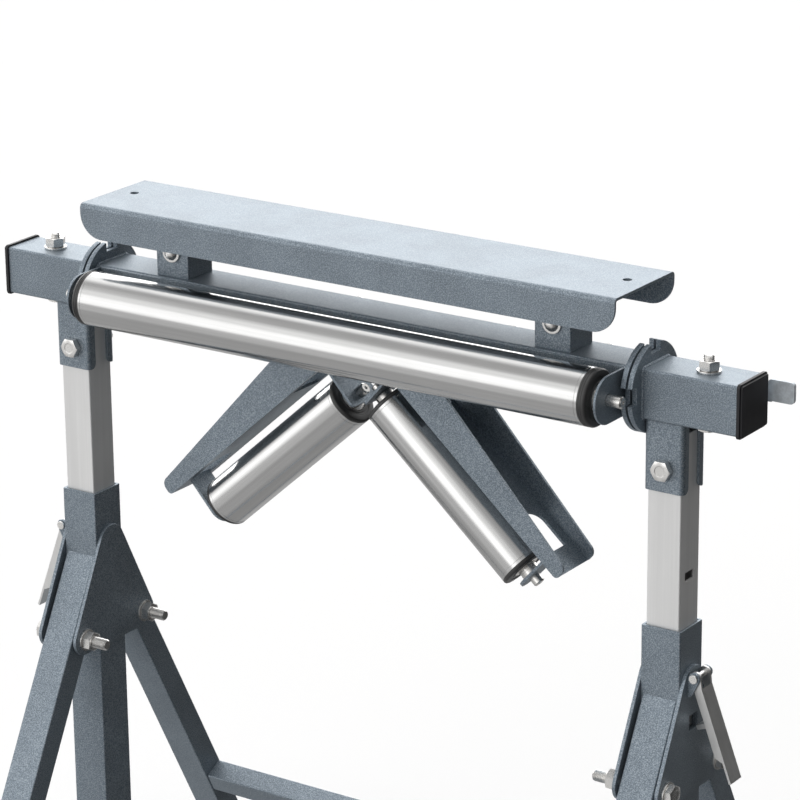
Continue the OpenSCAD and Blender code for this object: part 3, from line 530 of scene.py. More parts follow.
@dataclass
class Finishes:
    """Every finish of the stand, built once for the inclined rollers' lean in radians."""

    arm_lean: float
    coat: bpy.types.Material = field(init=False)
    rollers: dict[Along, bpy.types.Material] = field(init=False)
    post: bpy.types.Material = field(init=False)
    zinc: bpy.types.Material = field(init=False)
    latch: bpy.types.Material = field(init=False)
    turned: bpy.types.Material = field(init=False)
    ball: bpy.types.Material = field(init=False)
    plastic: bpy.types.Material = field(init=False)
    caps: bpy.types.Material = field(init=False)
    rubber: bpy.types.Material = field(init=False)
    lock: bpy.types.Material = field(init=False)

    def __post_init__(self) -> None:
        """Build the materials."""
        self.coat = PowderCoat().build()
        leans = {Along.X: 0.0, Along.LEFT_ARM: self.arm_lean, Along.RIGHT_ARM: -self.arm_lean}
        self.rollers = {
            along: LinedMetal("ground_roller_steel_" + along.value.replace(" ", "_"), along, lean,
                              base=(0.66, 0.66, 0.655), roughness=0.17, spread=0.07, line=0.0007,
                              pull=90.0, bump=0.05).build()
            for along, lean in leans.items()
        }
        self.post = LinedMetal("galvanised_post", Along.Z, base=(0.88, 0.88, 0.875),
                               roughness=0.45, spread=0.12, line=0.0012, pull=40.0, bump=0.12,
                               metallic=0.5).build()
        self.zinc = LinedMetal("zinc_plating", Along.Z, base=(0.86, 0.85, 0.83), roughness=0.3,
                               spread=0.14, line=0.0008, pull=2.0, bump=0.15).build()
        self.latch = LinedMetal("light_zinc_sheet", Along.Z, base=(0.80, 0.80, 0.79),
                                roughness=0.38, spread=0.14, line=0.0011, pull=3.0,
                                bump=0.2).build()
        self.turned = LinedMetal("turned_steel", Along.X, base=(0.80, 0.785, 0.76),
                                 roughness=0.25, spread=0.1, line=0.0006, pull=8.0,
                                 bump=0.1).build()
        self.ball = LinedMetal("polished_ball", Along.Y, base=(0.74, 0.74, 0.74), roughness=0.09,
                               spread=0.05, line=0.0014, pull=1.5, bump=0.03).build()
        self.plastic = MouldedBlack("moulded_plastic").build()
        self.caps = MouldedBlack("turned_cap_plastic", base=(0.032, 0.032, 0.032),
                                 roughness=0.36, bump=0.1).build()
        self.rubber = MouldedBlack("foot_rubber", roughness=0.7, bump=0.3).build()
        self.lock = LinedMetal("tumbled_steel", Along.Z, base=(0.80, 0.86, 0.91), roughness=0.55,
                               shade=0.72, spread=0.12, line=0.001, pull=1.0, bump=0.35,
                               metallic=0.3).build()

    def by_slot(self) -> dict[str, bpy.types.Material]:
        """Return the finish of each slot of the record."""
        return {
            "paint": self.coat,
            "zinc_plate": self.zinc,
            "galvanised": self.post,
            "roller_steel": self.rollers[Along.X],
            "bright_steel": self.turned,
            "black_plastic": self.plastic,
            "foot_rubber": self.rubber,
        }


# Mesh building blocks


def dress(piece: bpy.types.Object, material: bpy.types.Material) -> None:
    """Give a piece one material."""
    piece.data.materials.clear()
    piece.data.materials.append(material)


def smooth_by_angle(mesh: bpy.types.Mesh, degrees: float = 32.0) -> None:
    """Shade a mesh smooth with its sharp edges kept and its flat faces even.

    Args:
        mesh: The mesh.
        degrees: The angle from which an edge is sharp.
    """
    mesh.shade_smooth()
    limit = math.cos(math.radians(degrees))
    around = [[] for _ in mesh.vertices]
    for face in mesh.polygons:
        for vertex in face.vertices:
            around[vertex].append((face.normal.copy(), face.area))
    normals = []
    for face in mesh.polygons:
        for vertex in face.vertices:
            total = Vector((0.0, 0.0, 0.0))
            for normal, area in around[vertex]:
                if normal.dot(face.normal) > limit:
                    total += area * normal
            normals.append(total.normalized() if total.length > 0.0 else face.normal.copy())
    mesh.normals_split_custom_set(normals)


def place_piece(name: str, mesh: bpy.types.Mesh, body: Body,
                material: bpy.types.Material, replaces: Sequence[str] = ()) -> bpy.types.Object:
    """Put a mesh in the scene as a piece of a body.

    Args:
        name: The piece's name.
        mesh: Its mesh, in the shared frame.
        body: The body that it rides on.
        material: Its finish.
        replaces: The CAD nodes that it stands for.

    Returns:
        The new object.
    """
    piece = bpy.data.objects.new(name, mesh)
    bpy.context.scene.collection.objects.link(piece)
    dress(piece, material)
    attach(piece, body.value)
    if replaces:
        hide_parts(*replaces)
    LOG.info("%s rides on %s with %d faces", name, body.value, len(mesh.polygons))
    return piece


@dataclass(frozen=True)
class SoftEdges:
    """Rounds the sharp edges of a frame part on a copy of its mesh."""

    width: float = 0.0005
    segments: int = 2
    angle: float = 30.0
    even: float = 0.4

    def copy_of(self, node: bpy.types.Object) -> bpy.types.Mesh:
        """Copy a node's mesh and round its edges.

        Args:
            node: The frame's object.

        Returns:
            The new mesh.
        """
        work = bmesh.new()
        work.from_mesh(node.data)
        bmesh.ops.remove_doubles(work, verts=work.verts, dist=SAME_POINT)
        bmesh.ops.dissolve_limit(work, angle_limit=math.radians(self.even), verts=work.verts,
                                 edges=work.edges)
        limit = math.radians(self.angle)
        sharp = [edge for edge in work.edges
                 if len(edge.link_faces) == 2 and edge.calc_face_angle(0.0) > limit]
        bmesh.ops.bevel(work, geom=sharp, offset=self.width, segments=self.segments, profile=0.5,
                        affect="EDGES", clamp_overlap=True, loop_slide=True)
        mesh = bpy.data.meshes.new(node.name + "_soft")
        work.to_mesh(mesh)
        work.free()
        smooth_by_angle(mesh)
        return mesh


def box_of(points: Iterable[Vector]) -> tuple[Vector, Vector]:
    """Find the lowest and highest corner of some points.

    Args:
        points: The points.

    Returns:
        The two corners.
    """
    rows = list(zip(*points))
    return Vector([min(r) for r in rows]), Vector([max(r) for r in rows])


def loose_parts(node: bpy.types.Object) -> list[list[Vector]]:
    """Split a frame node into its unconnected pieces.

    Args:
        node: The frame's object.

    Returns:
        The points of each piece, from left to right and bottom to top.
    """
    work = bmesh.new()
    work.from_mesh(node.data)
    bmesh.ops.remove_doubles(work, verts=work.verts, dist=SAME_POINT)
    left = set(work.verts)
    pieces = []
    while left:
        queue = [left.pop()]
        found = []
        while queue:
            vert = queue.pop()
            found.append(node.matrix_world @ vert.co)
            for edge in vert.link_edges:
                other = edge.other_vert(vert)
                if other in left:
                    left.remove(other)
                    queue.append(other)
        pieces.append(found)
    work.free()
    return sorted(pieces, key=lambda part: tuple(round(v, 5) for v in box_of(part)[0]))


def as_mesh(name: str, points: Sequence[Vector],
            faces: Sequence[Sequence[int]]) -> bpy.types.Mesh:
    """Make a closed mesh with its double points joined and its faces turned outward.

    Args:
        name: The mesh's name.
        points: Its points.
        faces: Its faces, as numbers of points.

    Returns:
        The mesh, shaded smooth between its sharp edges.
    """
    mesh = bpy.data.meshes.new(name)
    mesh.from_pydata([tuple(p) for p in points], [], faces)
    work = bmesh.new()
    work.from_mesh(mesh)
    bmesh.ops.remove_doubles(work, verts=work.verts, dist=SAME_NEW_POINT)
    bmesh.ops.recalc_face_normals(work, faces=work.faces)
    work.to_mesh(mesh)
    work.free()
    smooth_by_angle(mesh)
    return mesh


@dataclass(frozen=True)
class Spindle:
    """A turning axis with a reference direction across it."""

    start: Vector
    way: Vector
    across: Vector

    @classmethod
    def of_joint(cls, joint: dict) -> "Spindle":
        """Take a hinge's axis from the record.

        Args:
            joint: The record's joint.

        Returns:
            The axis, with the front as its reference direction.
        """
        way = Vector(joint["axis"]).normalized()
        return cls(Vector(joint["pos_m"]), way, Vector((0.0, -1.0, 0.0)))

    def along(self, point: Vector) -> float:
        """Return how far along the axis a point lies."""
        return (point - self.start).dot(self.way)

    def off(self, point: Vector) -> float:
        """Return how far from the axis a point lies."""
        return ((point - self.start) - self.along(point) * self.way).length

    def reach(self, points: Sequence[Vector]) -> tuple[float, float]:
        """Return the nearest and farthest place of some points along the axis."""
        places = [self.along(p) for p in points]
        return min(places), max(places)

    def flipped(self) -> "Spindle":
        """Return the same axis pointing the other way."""
        return Spindle(self.start, -self.way, self.across)

    def moved(self, distance: float) -> "Spindle":
        """Return the same axis with its start moved along it."""
        return Spindle(self.start + distance * self.way, self.way, self.across)

    def point(self, distance: float, radius: float, angle: float) -> Vector:
        """Place a point around the axis.

        Args:
            distance: Its place along the axis.
            radius: Its distance from the axis.
            angle: Its angle from the reference direction.

        Returns:
            The point.
        """
        outward = math.cos(angle) * self.across + math.sin(angle) * self.way.cross(self.across)
        return self.start + distance * self.way + radius * outward

    def inward_from(self, points: Sequence[Vector]) -> "Spindle":
        """Turn the axis so that it starts at a piece's outer end and runs inward.

        Args:
            points: The points of a piece at one end of the axis.

        Returns:
            The axis.
        """
        near, far = self.reach(points)
        return self.moved(far).flipped() if abs(far) > abs(near) else self.moved(near)


def turned(profile: Profile) -> list[Ring]:
    """Make rings of a turned profile.

    Args:
        profile: Places along the axis and radii, in millimetres.

    Returns:
        One ring for each point.
    """
    return [lambda angle, t=t, r=r: (t * MM, r * MM) for t, r in profile]


def mirrored(half: Profile, near: float, far: float) -> list[tuple[float, float]]:
    """Complete the profile of a piece whose two ends are alike.

    Args:
        half: The profile of the near end.
        near: The near end's place along the axis.
        far: The far end's place.

    Returns:
        The whole profile.
    """
    return list(half) + [(near + far - place, radius) for place, radius in reversed(half)]


def revolve(name: str, spindle: Spindle, rings: Sequence[Ring], steps: int,
            closed: bool = False) -> bpy.types.Mesh:
    """Join rings around an axis to a mesh.

    Args:
        name: The mesh's name.
        spindle: The axis.
        rings: For each ring, its place along the axis and its radius at an angle.
        steps: Points in each ring.
        closed: Whether the last ring joins the first.

    Returns:
        The mesh.
    """
    points = []
    for ring in rings:
        for step in range(steps):
            angle = 2.0 * math.pi * step / steps
            points.append(spindle.point(*ring(angle), angle))
    count = len(rings)
    faces = []
    for row in range(count if closed else count - 1):
        near, far = row * steps, (row + 1) % count * steps
        for step in range(steps):
            beside = (step + 1) % steps
            faces.append((near + step, near + beside, far + beside, far + step))
    return as_mesh(name, points, faces)


@dataclass(frozen=True)
class Hexagon:
    """The outline of a hexagon head or nut with turned corners, in millimetres."""

    flats: float
    slope: float = math.tan(math.radians(30.0))
    face_share: float = 0.475

    @property
    def face(self) -> float:
        """Return the radius of the flat end face."""
        return self.face_share * self.flats

    def radius(self, angle: float) -> float:
        """Return the distance from the axis to the six sides at an angle."""
        sixth = math.pi / 3.0
        return self.flats / 2.0 / math.cos(angle % sixth - sixth / 2.0)

    def ring(self, place: float, inward: float) -> Ring:
        """Make the ring where the cone of an end meets the six sides.

        Args:
            place: The end face's place along the axis.
            inward: +1 or -1, the way from the end face into the body.

        Returns:
            The ring.
        """
        def at(angle: float) -> tuple[float, float]:
            """Return place and radius at an angle."""
            radius = self.radius(angle)
            return (place + inward * (radius - self.face) * self.slope) * MM, radius * MM

        return at

    def level(self, place: float) -> Ring:
        """Return a ring of the six sides at an even place along the axis."""
        return lambda angle: (place * MM, self.radius(angle) * MM)


@dataclass(frozen=True)
class Thread:
    """A coarse screw thread, in millimetres."""

    diameter: float
    pitch: float = 1.75
    depth: float = 0.85
    per_turn: int = 6
    crest: float = 1.25
    chamfer: float = 1.3
    face: float = 1.5

    def rings(self, start: float, end: float) -> list[Ring]:
        """Make the rings of the thread, with a chamfered end.

        Args:
            start: Where the thread begins along the axis.
            end: Where the bolt ends.

        Returns:
            The rings from the shank to the middle of the end face.
        """
        outer = self.diameter / 2.0
        count = max(2, round((end - start) / self.pitch * self.per_turn))
        rings = []
        for index in range(count + 1):
            place = start + (end - start) * index / count

            def at(angle: float, place: float = place) -> tuple[float, float]:
                """Return place and radius at an angle."""
                phase = (place / self.pitch - angle / (2.0 * math.pi)) % 1.0
                cut = self.depth * max(0.0, 1.0 - abs(2.0 * phase - 1.0) * self.crest)
                runout = min(1.0, (place - start) / self.pitch)
                taper = max(0.0, place - end + self.chamfer)
                return place * MM, min(outer - cut * runout, outer - taper) * MM

            rings.append(at)
        return rings + turned([(end, outer - self.face), (end, 0.0)])


@dataclass(frozen=True)
class Fastener:
    """One loose piece of a fastener node, with its axis found from its box."""

    points: tuple[Vector, ...]
    long: bool
    end_zone: ClassVar[float] = 0.006
    wider: ClassVar[float] = 0.0001

    def spindle(self) -> Spindle:
        """Find the axis, the end with the head and the direction of a corner.

        Returns:
            The axis from the head's or the nut's outer face, with a corner as reference.
        """
        low, high = box_of(self.points)
        size = high - low
        order = sorted(range(3), key=lambda i: size[i])
        main = order[2] if self.long else order[0]
        rest = [i for i in range(3) if i != main]
        way = Vector([1.0 if i == main else 0.0 for i in range(3)])
        middle = (low + high) / 2.0
        start = Vector([low[i] if i == main else middle[i] for i in range(3)])
        axis = Spindle(start, way, Vector((0.0, 0.0, 0.0)))
        length = size[main]
        near, far = (max(axis.off(p) for p in self.points
                         if abs(axis.along(p) - place) < self.end_zone) for place in (0.0, length))
        if far > near + self.wider:
            axis = axis.moved(length).flipped()
        wide = max(rest, key=lambda i: size[i])
        return Spindle(axis.start, axis.way, Vector([1.0 if i == wide else 0.0 for i in range(3)]))

    def length(self) -> float:
        """Return the length along the axis in millimetres."""
        near, far = self.spindle().reach(self.points)
        return (far - near) / MM

    def radii(self) -> tuple[float, float]:
        """Return the smallest and greatest radius of the points, in millimetres."""
        axis = self.spindle()
        offs = [axis.off(p) / MM for p in self.points]
        return min(offs), max(offs)


# Small parts


@dataclass
class Kit:
    """What every sub-assembly needs to place its pieces."""

    nodes: dict[str, bpy.types.Object]
    slots: dict[str, str]
    bodies: dict[str, Body]
    joints: dict[str, dict]
    finishes: Finishes

    @classmethod
    def of_frame(cls, frame: dict, finishes: Finishes) -> "Kit":
        """Args:
            finishes: The finishes.
        """
        record = frame["record"]
        slots = {part["node"]: part["material_slot"] for part in record["subparts"]}
        bodies = {name: body for body in Body for name in record["behaviour"]["bodies"][body.value]}
        joints = {joint["name"]: joint for joint in record["behaviour"]["joints"]}
        return cls(frame["nodes"], slots, bodies, joints, finishes)

    def material(self, node: str) -> bpy.types.Material:
        """Return the finish of a node's slot."""
        return self.finishes.by_slot()[self.slots[node]]

    def box(self, node: str) -> tuple[Vector, Vector]:
        """Return the lowest and highest corner of a node."""
        found = self.nodes[node]
        return box_of(found.matrix_world @ vertex.co for vertex in found.data.vertices)

    def soften(self, node: str, width: float = 0.5,
               material: bpy.types.Material | None = None) -> None:
        """Stand a copy with rounded edges in for a node.

        Args:
            node: The frame's node.
            width: Width of the rounding in millimetres.
            material: A finish other than its slot's.
        """
        mesh = SoftEdges(width * MM).copy_of(self.nodes[node])
        place_piece(node + "_finished", mesh, self.bodies[node],
                    material or self.material(node), (node,))

    def stand_in(self, node: str, meshes: Sequence[bpy.types.Mesh],
                 material: bpy.types.Material | None = None) -> None:
        """Stand new meshes in for a node.

        Args:
            node: The frame's node.
            meshes: One mesh for each of its loose pieces.
            material: A finish other than its slot's.
        """
        for index, mesh in enumerate(meshes):
            place_piece(f"{node}_{index + 1}", mesh, self.bodies[node],
                        material or self.material(node), (node,))


@dataclass(frozen=True)
class Hardware:
    """Fasteners of one kind, built wherever a frame node has them."""

    long: ClassVar[bool] = False

    def rings(self, piece: Fastener) -> list[Ring]:
        """Make the rings of one fastener.

        Args:
            piece: The frame's piece.

        Returns:
            The rings from its outer face on.
        """
        raise NotImplementedError

    def build(self, kit: Kit, node: str) -> None:
        """Build a fastener for each loose piece of a node.

        Args:
            kit: The nodes, slots and finishes.
            node: The frame's node.
        """
        meshes = []
        for index, points in enumerate(loose_parts(kit.nodes[node])):
            piece = Fastener(tuple(points), self.long)
            meshes.append(revolve(f"{node}_{index}", piece.spindle(), self.rings(piece),
                                  BOLT_STEPS, closed=not self.long))
        kit.stand_in(node, meshes)


@dataclass(frozen=True)
class HexBolts(Hardware):
    """Hexagon bolts with a dished head, a washer face and a cut thread, in millimetres."""

    long: ClassVar[bool] = True
    diameter: float = 12.0
    flats: float = 19.0
    head: float = 7.5
    thread: float = 26.0
    dish: float = 0.5
    dish_share: float = 0.52
    rim_share: float = 0.6
    washer_face: float = 0.6

    def rings(self, piece: Fastener) -> list[Ring]:
        """Make the rings of one bolt.

        Args:
            piece: The frame's bolt.

        Returns:
            The rings from the middle of the head to the middle of the threaded end.
        """
        hexagon = Hexagon(self.flats)
        end, shank = piece.length(), self.diameter / 2.0
        seat = self.head - self.washer_face
        rings = turned([(self.dish, 0.0), (self.dish, self.dish_share * self.flats / 2.0),
                        (0.0, self.rim_share * self.flats / 2.0), (0.0, hexagon.face)])
        rings += [hexagon.ring(0.0, 1.0), hexagon.level(seat)]
        rings += turned([(seat, hexagon.face), (self.head, hexagon.face), (self.head, shank),
                         (end - self.thread, shank)])
        return rings + Thread(self.diameter).rings(end - self.thread, end)


@dataclass(frozen=True)
class HexNuts(Hardware):
    """Hexagon nuts with turned corners and a countersunk bore, in millimetres."""

    bore: float = 12.0
    flats: float = 19.0
    thread_depth: float = 0.4
    countersink: float = 1.2

    def rings(self, piece: Fastener) -> list[Ring]:
        """Make the rings of one nut.

        Args:
            piece: The frame's nut.

        Returns:
            The rings over the outside and back through the bore.
        """
        hexagon = Hexagon(self.flats)
        high, sink = piece.length(), self.countersink
        bore = self.bore / 2.0 - self.thread_depth
        rings = turned([(0.0, hexagon.face)]) + [hexagon.ring(0.0, 1.0), hexagon.ring(high, -1.0)]
        return rings + turned([(high, hexagon.face), (high, bore + sink), (high - sink, bore),
                               (sink, bore), (0.0, bore + sink)])


@dataclass(frozen=True)
class Washers(Hardware):
    """Stamped flat washers with rolled edges, in millimetres."""

    roll: float = 0.5
    roll_middle: float = 0.15
    bore_edge: float = 0.2

    def rings(self, piece: Fastener) -> list[Ring]:
        """Make the rings of one washer.

        Args:
            piece: The frame's washer.

        Returns:
            The rings over the outside and back through the bore.
        """
        bore, outer = piece.radii()
        edge, middle, roll = self.bore_edge, self.roll_middle, self.roll
        half = [(edge, bore), (0.0, bore + edge), (0.0, outer - roll), (middle, outer - middle),
                (roll, outer)]
        return turned(mirrored(half, 0.0, piece.length()))


@dataclass(frozen=True)
class DomeBolts(Hardware):
    """Round-headed bolts with a threaded end, in millimetres."""

    long: ClassVar[bool] = True
    diameter: float = 10.0
    dome: float = 16.0
    high: float = 5.0
    thread: float = 16.0
    pitch: float = 1.5
    thread_depth: float = 0.75
    steps: int = 9

    def rings(self, piece: Fastener) -> list[Ring]:
        """Make the rings of one bolt.

        Args:
            piece: The frame's bolt.

        Returns:
            The rings from the top of the dome to the middle of the threaded end.
        """
        ball = (self.dome ** 2 / 4.0 + self.high ** 2) / (2.0 * self.high)
        span = math.asin(self.dome / 2.0 / ball)
        start, end = piece.length() - self.thread, piece.length()
        arcs = [span * step / self.steps for step in range(self.steps + 1)]
        profile = [(ball * (1.0 - math.cos(a)), ball * math.sin(a)) for a in arcs]
        profile += [(self.high, self.diameter / 2.0), (start, self.diameter / 2.0)]
        thread = Thread(self.diameter, self.pitch, self.thread_depth)
        return turned(profile) + thread.rings(start, end)


@dataclass(frozen=True)
class WeldBead:
    """A rippled weld bead drawn along a path, in millimetres."""

    radius: float = 2.0
    ripple: float = 2.4
    wave: float = 0.16
    sides: int = 10
    step: float = 0.6
    unevenness: float = 0.03
    tip: float = 0.35
    tip_run: float = 2.5
    corner: float = 2.5
    inset: float = 6.0
    skew: ClassVar[Vector] = Vector((0.31, 0.52, 0.79))

    def mesh(self, name: str, corners: Sequence[Vector], closed: bool) -> bpy.types.Mesh:
        """Draw the bead along straight runs between corners.

        Args:
            name: The mesh's name.
            corners: The path's corners in metres.
            closed: Whether the path runs back to its start.

        Returns:
            The mesh.
        """
        stops = list(corners) + ([corners[0]] if closed else [])
        path = []
        for near, far in zip(stops, stops[1:]):
            count = max(2, round((far - near).length / (self.step * MM)))
            path += [near.lerp(far, i / count) for i in range(count)]
        if not closed:
            path.append(stops[-1])
        points, faces = [], []
        total = len(path)
        for index, middle in enumerate(path):
            ahead = path[(index + 1) % total] if closed or index + 1 < total else middle
            behind = path[index - 1] if closed or index else middle
            run = (ahead - behind).normalized()
            first = run.cross(self.skew).normalized()
            second = run.cross(first)
            phase = (index * self.step / self.ripple) % 1.0
            swell = self.wave * (math.sqrt(phase) - 0.5)
            radius = self.radius * (1.0 + swell + random.uniform(-self.unevenness, self.unevenness))
            if not closed:
                from_end = min(index, total - 1 - index) * self.step
                radius *= min(1.0, self.tip + from_end / self.tip_run)
            for side in range(self.sides):
                angle = 2.0 * math.pi * side / self.sides
                outward = math.cos(angle) * first + math.sin(angle) * second
                points.append(middle + radius * MM * outward)
        for index in range(total if closed else total - 1):
            near, far = index * self.sides, (index + 1) % total * self.sides
            for side in range(self.sides):
                beside = (side + 1) % self.sides
                faces.append((near + side, near + beside, far + beside, far + side))
        if not closed:
            faces.append(tuple(range(self.sides)))
            faces.append(tuple(range((total - 1) * self.sides, total * self.sides)))
        return as_mesh(name, points, faces)

    def around_tube(self, kit: Kit, name: str, node: str, place: float) -> None:
        """Weld a square tube that runs along X to a disc.

        Args:
            kit: The nodes, slots and finishes.
            name: The piece's name.
            node: The tube's node.
            place: The joint's place along X in metres.
        """
        low, high = kit.box(node)
        cut = self.corner * MM
        corners = []
        for y, z, dy, dz in ((low.y, low.z, 1, 1), (high.y, low.z, -1, 1),
                             (high.y, high.z, -1, -1), (low.y, high.z, 1, -1)):
            pair = [Vector((place, y, z + dz * cut)), Vector((place, y + dy * cut, z))]
            corners += pair if dy * dz > 0 else pair[::-1]
        mesh = self.mesh(name, corners, closed=True)
        place_piece(name, mesh, kit.bodies[node], kit.material(node))

    def along_edges(self, kit: Kit, name: str, node: str, front: bool) -> None:
        """Weld the upper edge of each bracket of a node to the tube above it.

        Args:
            kit: The nodes, slots and finishes.
            name: The pieces' name.
            node: The brackets' node.
            front: Whether the edge at the front or at the rear is welded.
        """
        for index, points in enumerate(loose_parts(kit.nodes[node])):
            low, high = box_of(points)
            y = low.y if front else high.y
            inset = self.inset * MM
            run = [Vector((x, y, high.z)) for x in (low.x + inset, high.x - inset)]
            mesh = self.mesh(f"{name}_{index}", run, closed=False)
            place_piece(f"{name}_{index + 1}", mesh, kit.bodies[node],
                        kit.material(node))


# Sub-assemblies


@dataclass(frozen=True)
class RollerTube:
    """A tube with broken edges and a turned rim line at each end, in millimetres."""

    chamfer: float = 0.5
    bore_edge: float = 0.3
    rim: float = 3.0
    line_width: float = 0.8
    line_slope: float = 0.2
    line_depth: float = 0.15

    def profile(self, near: float, far: float, bore: float,
                outer: float) -> list[tuple[float, float]]:
        """Draw the tube's profile.

        Args:
            near: The near end's place along the axis.
            far: The far end's place.
            bore: The inner radius.
            outer: The outer radius.

        Returns:
            The closed profile.
        """
        line, slope, low = near + self.rim, self.line_slope, outer - self.line_depth
        half = [(near, bore + self.bore_edge), (near, outer - self.chamfer),
                (near + self.chamfer, outer), (line, outer), (line + slope, low),
                (line + self.line_width - slope, low), (line + self.line_width, outer)]
        return mirrored(half, near, far) + [(far, bore), (near, bore)]


@dataclass(frozen=True)
class RollerCap:
    """A cap with a bevel, rim grooves and a raised ring around its recess, in millimetres."""

    recess: float = 8.0
    ring_in: float = 14.5
    ring_out: float = 16.4
    ring_foot: float = 16.9
    edge: float = 0.6
    band: float = 6.6
    bevel: float = 2.0
    bevel_middle: tuple[float, float] = (0.7, 0.8)
    grooves: tuple[float, ...] = (3.4, 5.6)
    groove_width: float = 0.9
    groove_slope: float = 0.2
    groove_depth: float = 0.35
    groove_room: float = 5.0
    seated: float = 12.0
    shoulder: float = 2.0
    rim_edge: float = 0.2

    def profile(self, deep: float, bore: float, outer: float) -> list[tuple[float, float]]:
        """Draw the cap's profile from its outer face inward.

        Args:
            deep: The cap's length.
            bore: The inner radius.
            outer: The outer radius.

        Returns:
            The closed profile.
        """
        rim, edge, along = deep - self.seated, self.edge, self.bevel_middle
        profile = [(self.recess, bore), (self.recess, self.ring_in - edge),
                   (edge, self.ring_in - edge), (0.0, self.ring_in), (0.0, self.ring_out),
                   (edge, self.ring_foot), (edge, outer - self.band - edge),
                   (0.0, outer - self.band), (0.0, outer - self.bevel),
                   (along[0], outer - along[1]), (self.bevel, outer)]
        if rim > self.groove_room:
            width, slope, low = self.groove_width, self.groove_slope, outer - self.groove_depth
            for place in self.grooves:
                profile += [(place, outer), (place + slope, low), (place + width - slope, low),
                            (place + width, outer)]
        return profile + [(rim - self.rim_edge, outer), (rim, outer - self.rim_edge),
                          (rim, outer - self.shoulder), (deep, outer - self.shoulder),
                          (deep, bore)]


@dataclass(frozen=True)
class RollerBearing:
    """A bearing with its race, a sunk shield and a grooved collar, in millimetres."""

    width: float = 8.0
    collar: float = 10.0
    collar_edge: float = 0.6
    bore_edge: float = 0.5
    line_width: float = 0.6
    line_slope: float = 0.15
    line_depth: float = 0.25
    shield: float = 0.5
    race: float = 12.4
    race_slope: float = 0.2
    race_edge: float = 0.4

    def profile(self, deep: float, bore: float, outer: float) -> list[tuple[float, float]]:
        """Draw the bearing's profile from the collar's outer face inward.

        Args:
            deep: The length of bearing and collar.
            bore: The inner radius.
            outer: The outer radius.

        Returns:
            The closed profile.
        """
        face = deep - self.width
        sunk = face + self.shield
        line, low, slope = face / 2.0, self.collar - self.line_depth, self.line_slope
        return [(0.0, bore + self.bore_edge), (0.0, self.collar - self.collar_edge),
                (self.collar_edge, self.collar), (line, self.collar), (line + slope, low),
                (line + self.line_width - slope, low), (line + self.line_width, self.collar),
                (sunk, self.collar), (sunk, self.race - self.race_slope), (face, self.race),
                (face, outer - self.race_edge), (face + self.race_edge, outer),
                (deep, outer), (deep, bore), (self.bore_edge, bore)]


@dataclass(frozen=True)
class Roller:
    """A steel roller with plastic caps and bearings."""

    joint: str
    name: str
    finish: Along
    tube: RollerTube = RollerTube()
    cap: RollerCap = RollerCap()
    bearing: RollerBearing = RollerBearing()

    def middle(self, kit: Kit) -> Spindle:
        """Find the roller's axis.

        Args:
            kit: The nodes, slots and finishes.

        Returns:
            The axis, starting in the middle of the tube.
        """
        spindle = Spindle.of_joint(kit.joints[self.joint])
        near, far = spindle.reach(loose_parts(kit.nodes[self.name + "_tube"])[0])
        return spindle.moved((near + far) / 2.0)

    def build_tube(self, kit: Kit, spindle: Spindle) -> None:
        """Build the tube.

        Args:
            kit: The nodes, slots and finishes.
            spindle: The roller's axis.
        """
        node = self.name + "_tube"
        points = loose_parts(kit.nodes[node])[0]
        near, far = (v / MM for v in spindle.reach(points))
        offs = [spindle.off(p) / MM for p in points]
        profile = self.tube.profile(near, far, min(offs), max(offs))
        mesh = revolve(node, spindle, turned(profile), TUBE_STEPS, closed=True)
        kit.stand_in(node, [mesh], kit.finishes.rollers[self.finish])

    def build_ends(self, kit: Kit, spindle: Spindle, node: str,
                   shape: RollerCap | RollerBearing, steps: int,
                   material: bpy.types.Material) -> None:
        """Build the pieces that close the tube's two ends.

        Args:
            kit: The nodes, slots and finishes.
            spindle: The roller's axis.
            node: The frame's node.
            shape: The sizes of the piece.
            steps: Points around its rings.
            material: Its finish.
        """
        meshes = []
        for index, points in enumerate(loose_parts(kit.nodes[node])):
            axis = spindle.inward_from(points)
            near, far = axis.reach(points)
            offs = [axis.off(p) / MM for p in points]
            profile = shape.profile((far - near) / MM, min(offs), max(offs))
            meshes.append(revolve(f"{node}_{index}", axis, turned(profile), steps, closed=True))
        kit.stand_in(node, meshes, material)

    def build(self, kit: Kit) -> None:
        """Build the roller.

        Args:
            kit: The nodes, slots and finishes.
        """
        spindle = self.middle(kit)
        self.build_tube(kit, spindle)
        self.build_ends(kit, spindle, self.name + "_caps", self.cap, CAP_STEPS,
                        kit.finishes.caps)
        self.build_ends(kit, spindle, self.name + "_bearings", self.bearing, CUP_STEPS,
                        kit.finishes.turned)


@dataclass(frozen=True)
class Axles:
    """Round axles with chamfered and centre-drilled ends, in millimetres."""

    joints: tuple[str, ...]
    node: str
    chamfer: float = 1.2
    drill: float = 2.0

    def build(self, kit: Kit) -> None:
        """Build an axle for each joint.

        Args:
            kit: The nodes, slots and finishes.
        """
        parts = loose_parts(kit.nodes[self.node])
        meshes = []
        for joint in self.joints:
            spindle = Spindle.of_joint(kit.joints[joint])
            points = min(parts, key=lambda part: max(spindle.off(p) for p in part))
            near, far = (v / MM for v in spindle.reach(points))
            radius = max(spindle.off(p) for p in points) / MM
            half = [(near + self.drill, 0.0), (near, self.drill), (near, radius - self.chamfer),
                    (near + self.chamfer, radius)]
            rings = turned(mirrored(half, near, far))
            meshes.append(revolve(f"{self.node}_{joint}", spindle, rings, BOLT_STEPS))
        kit.stand_in(self.node, meshes)


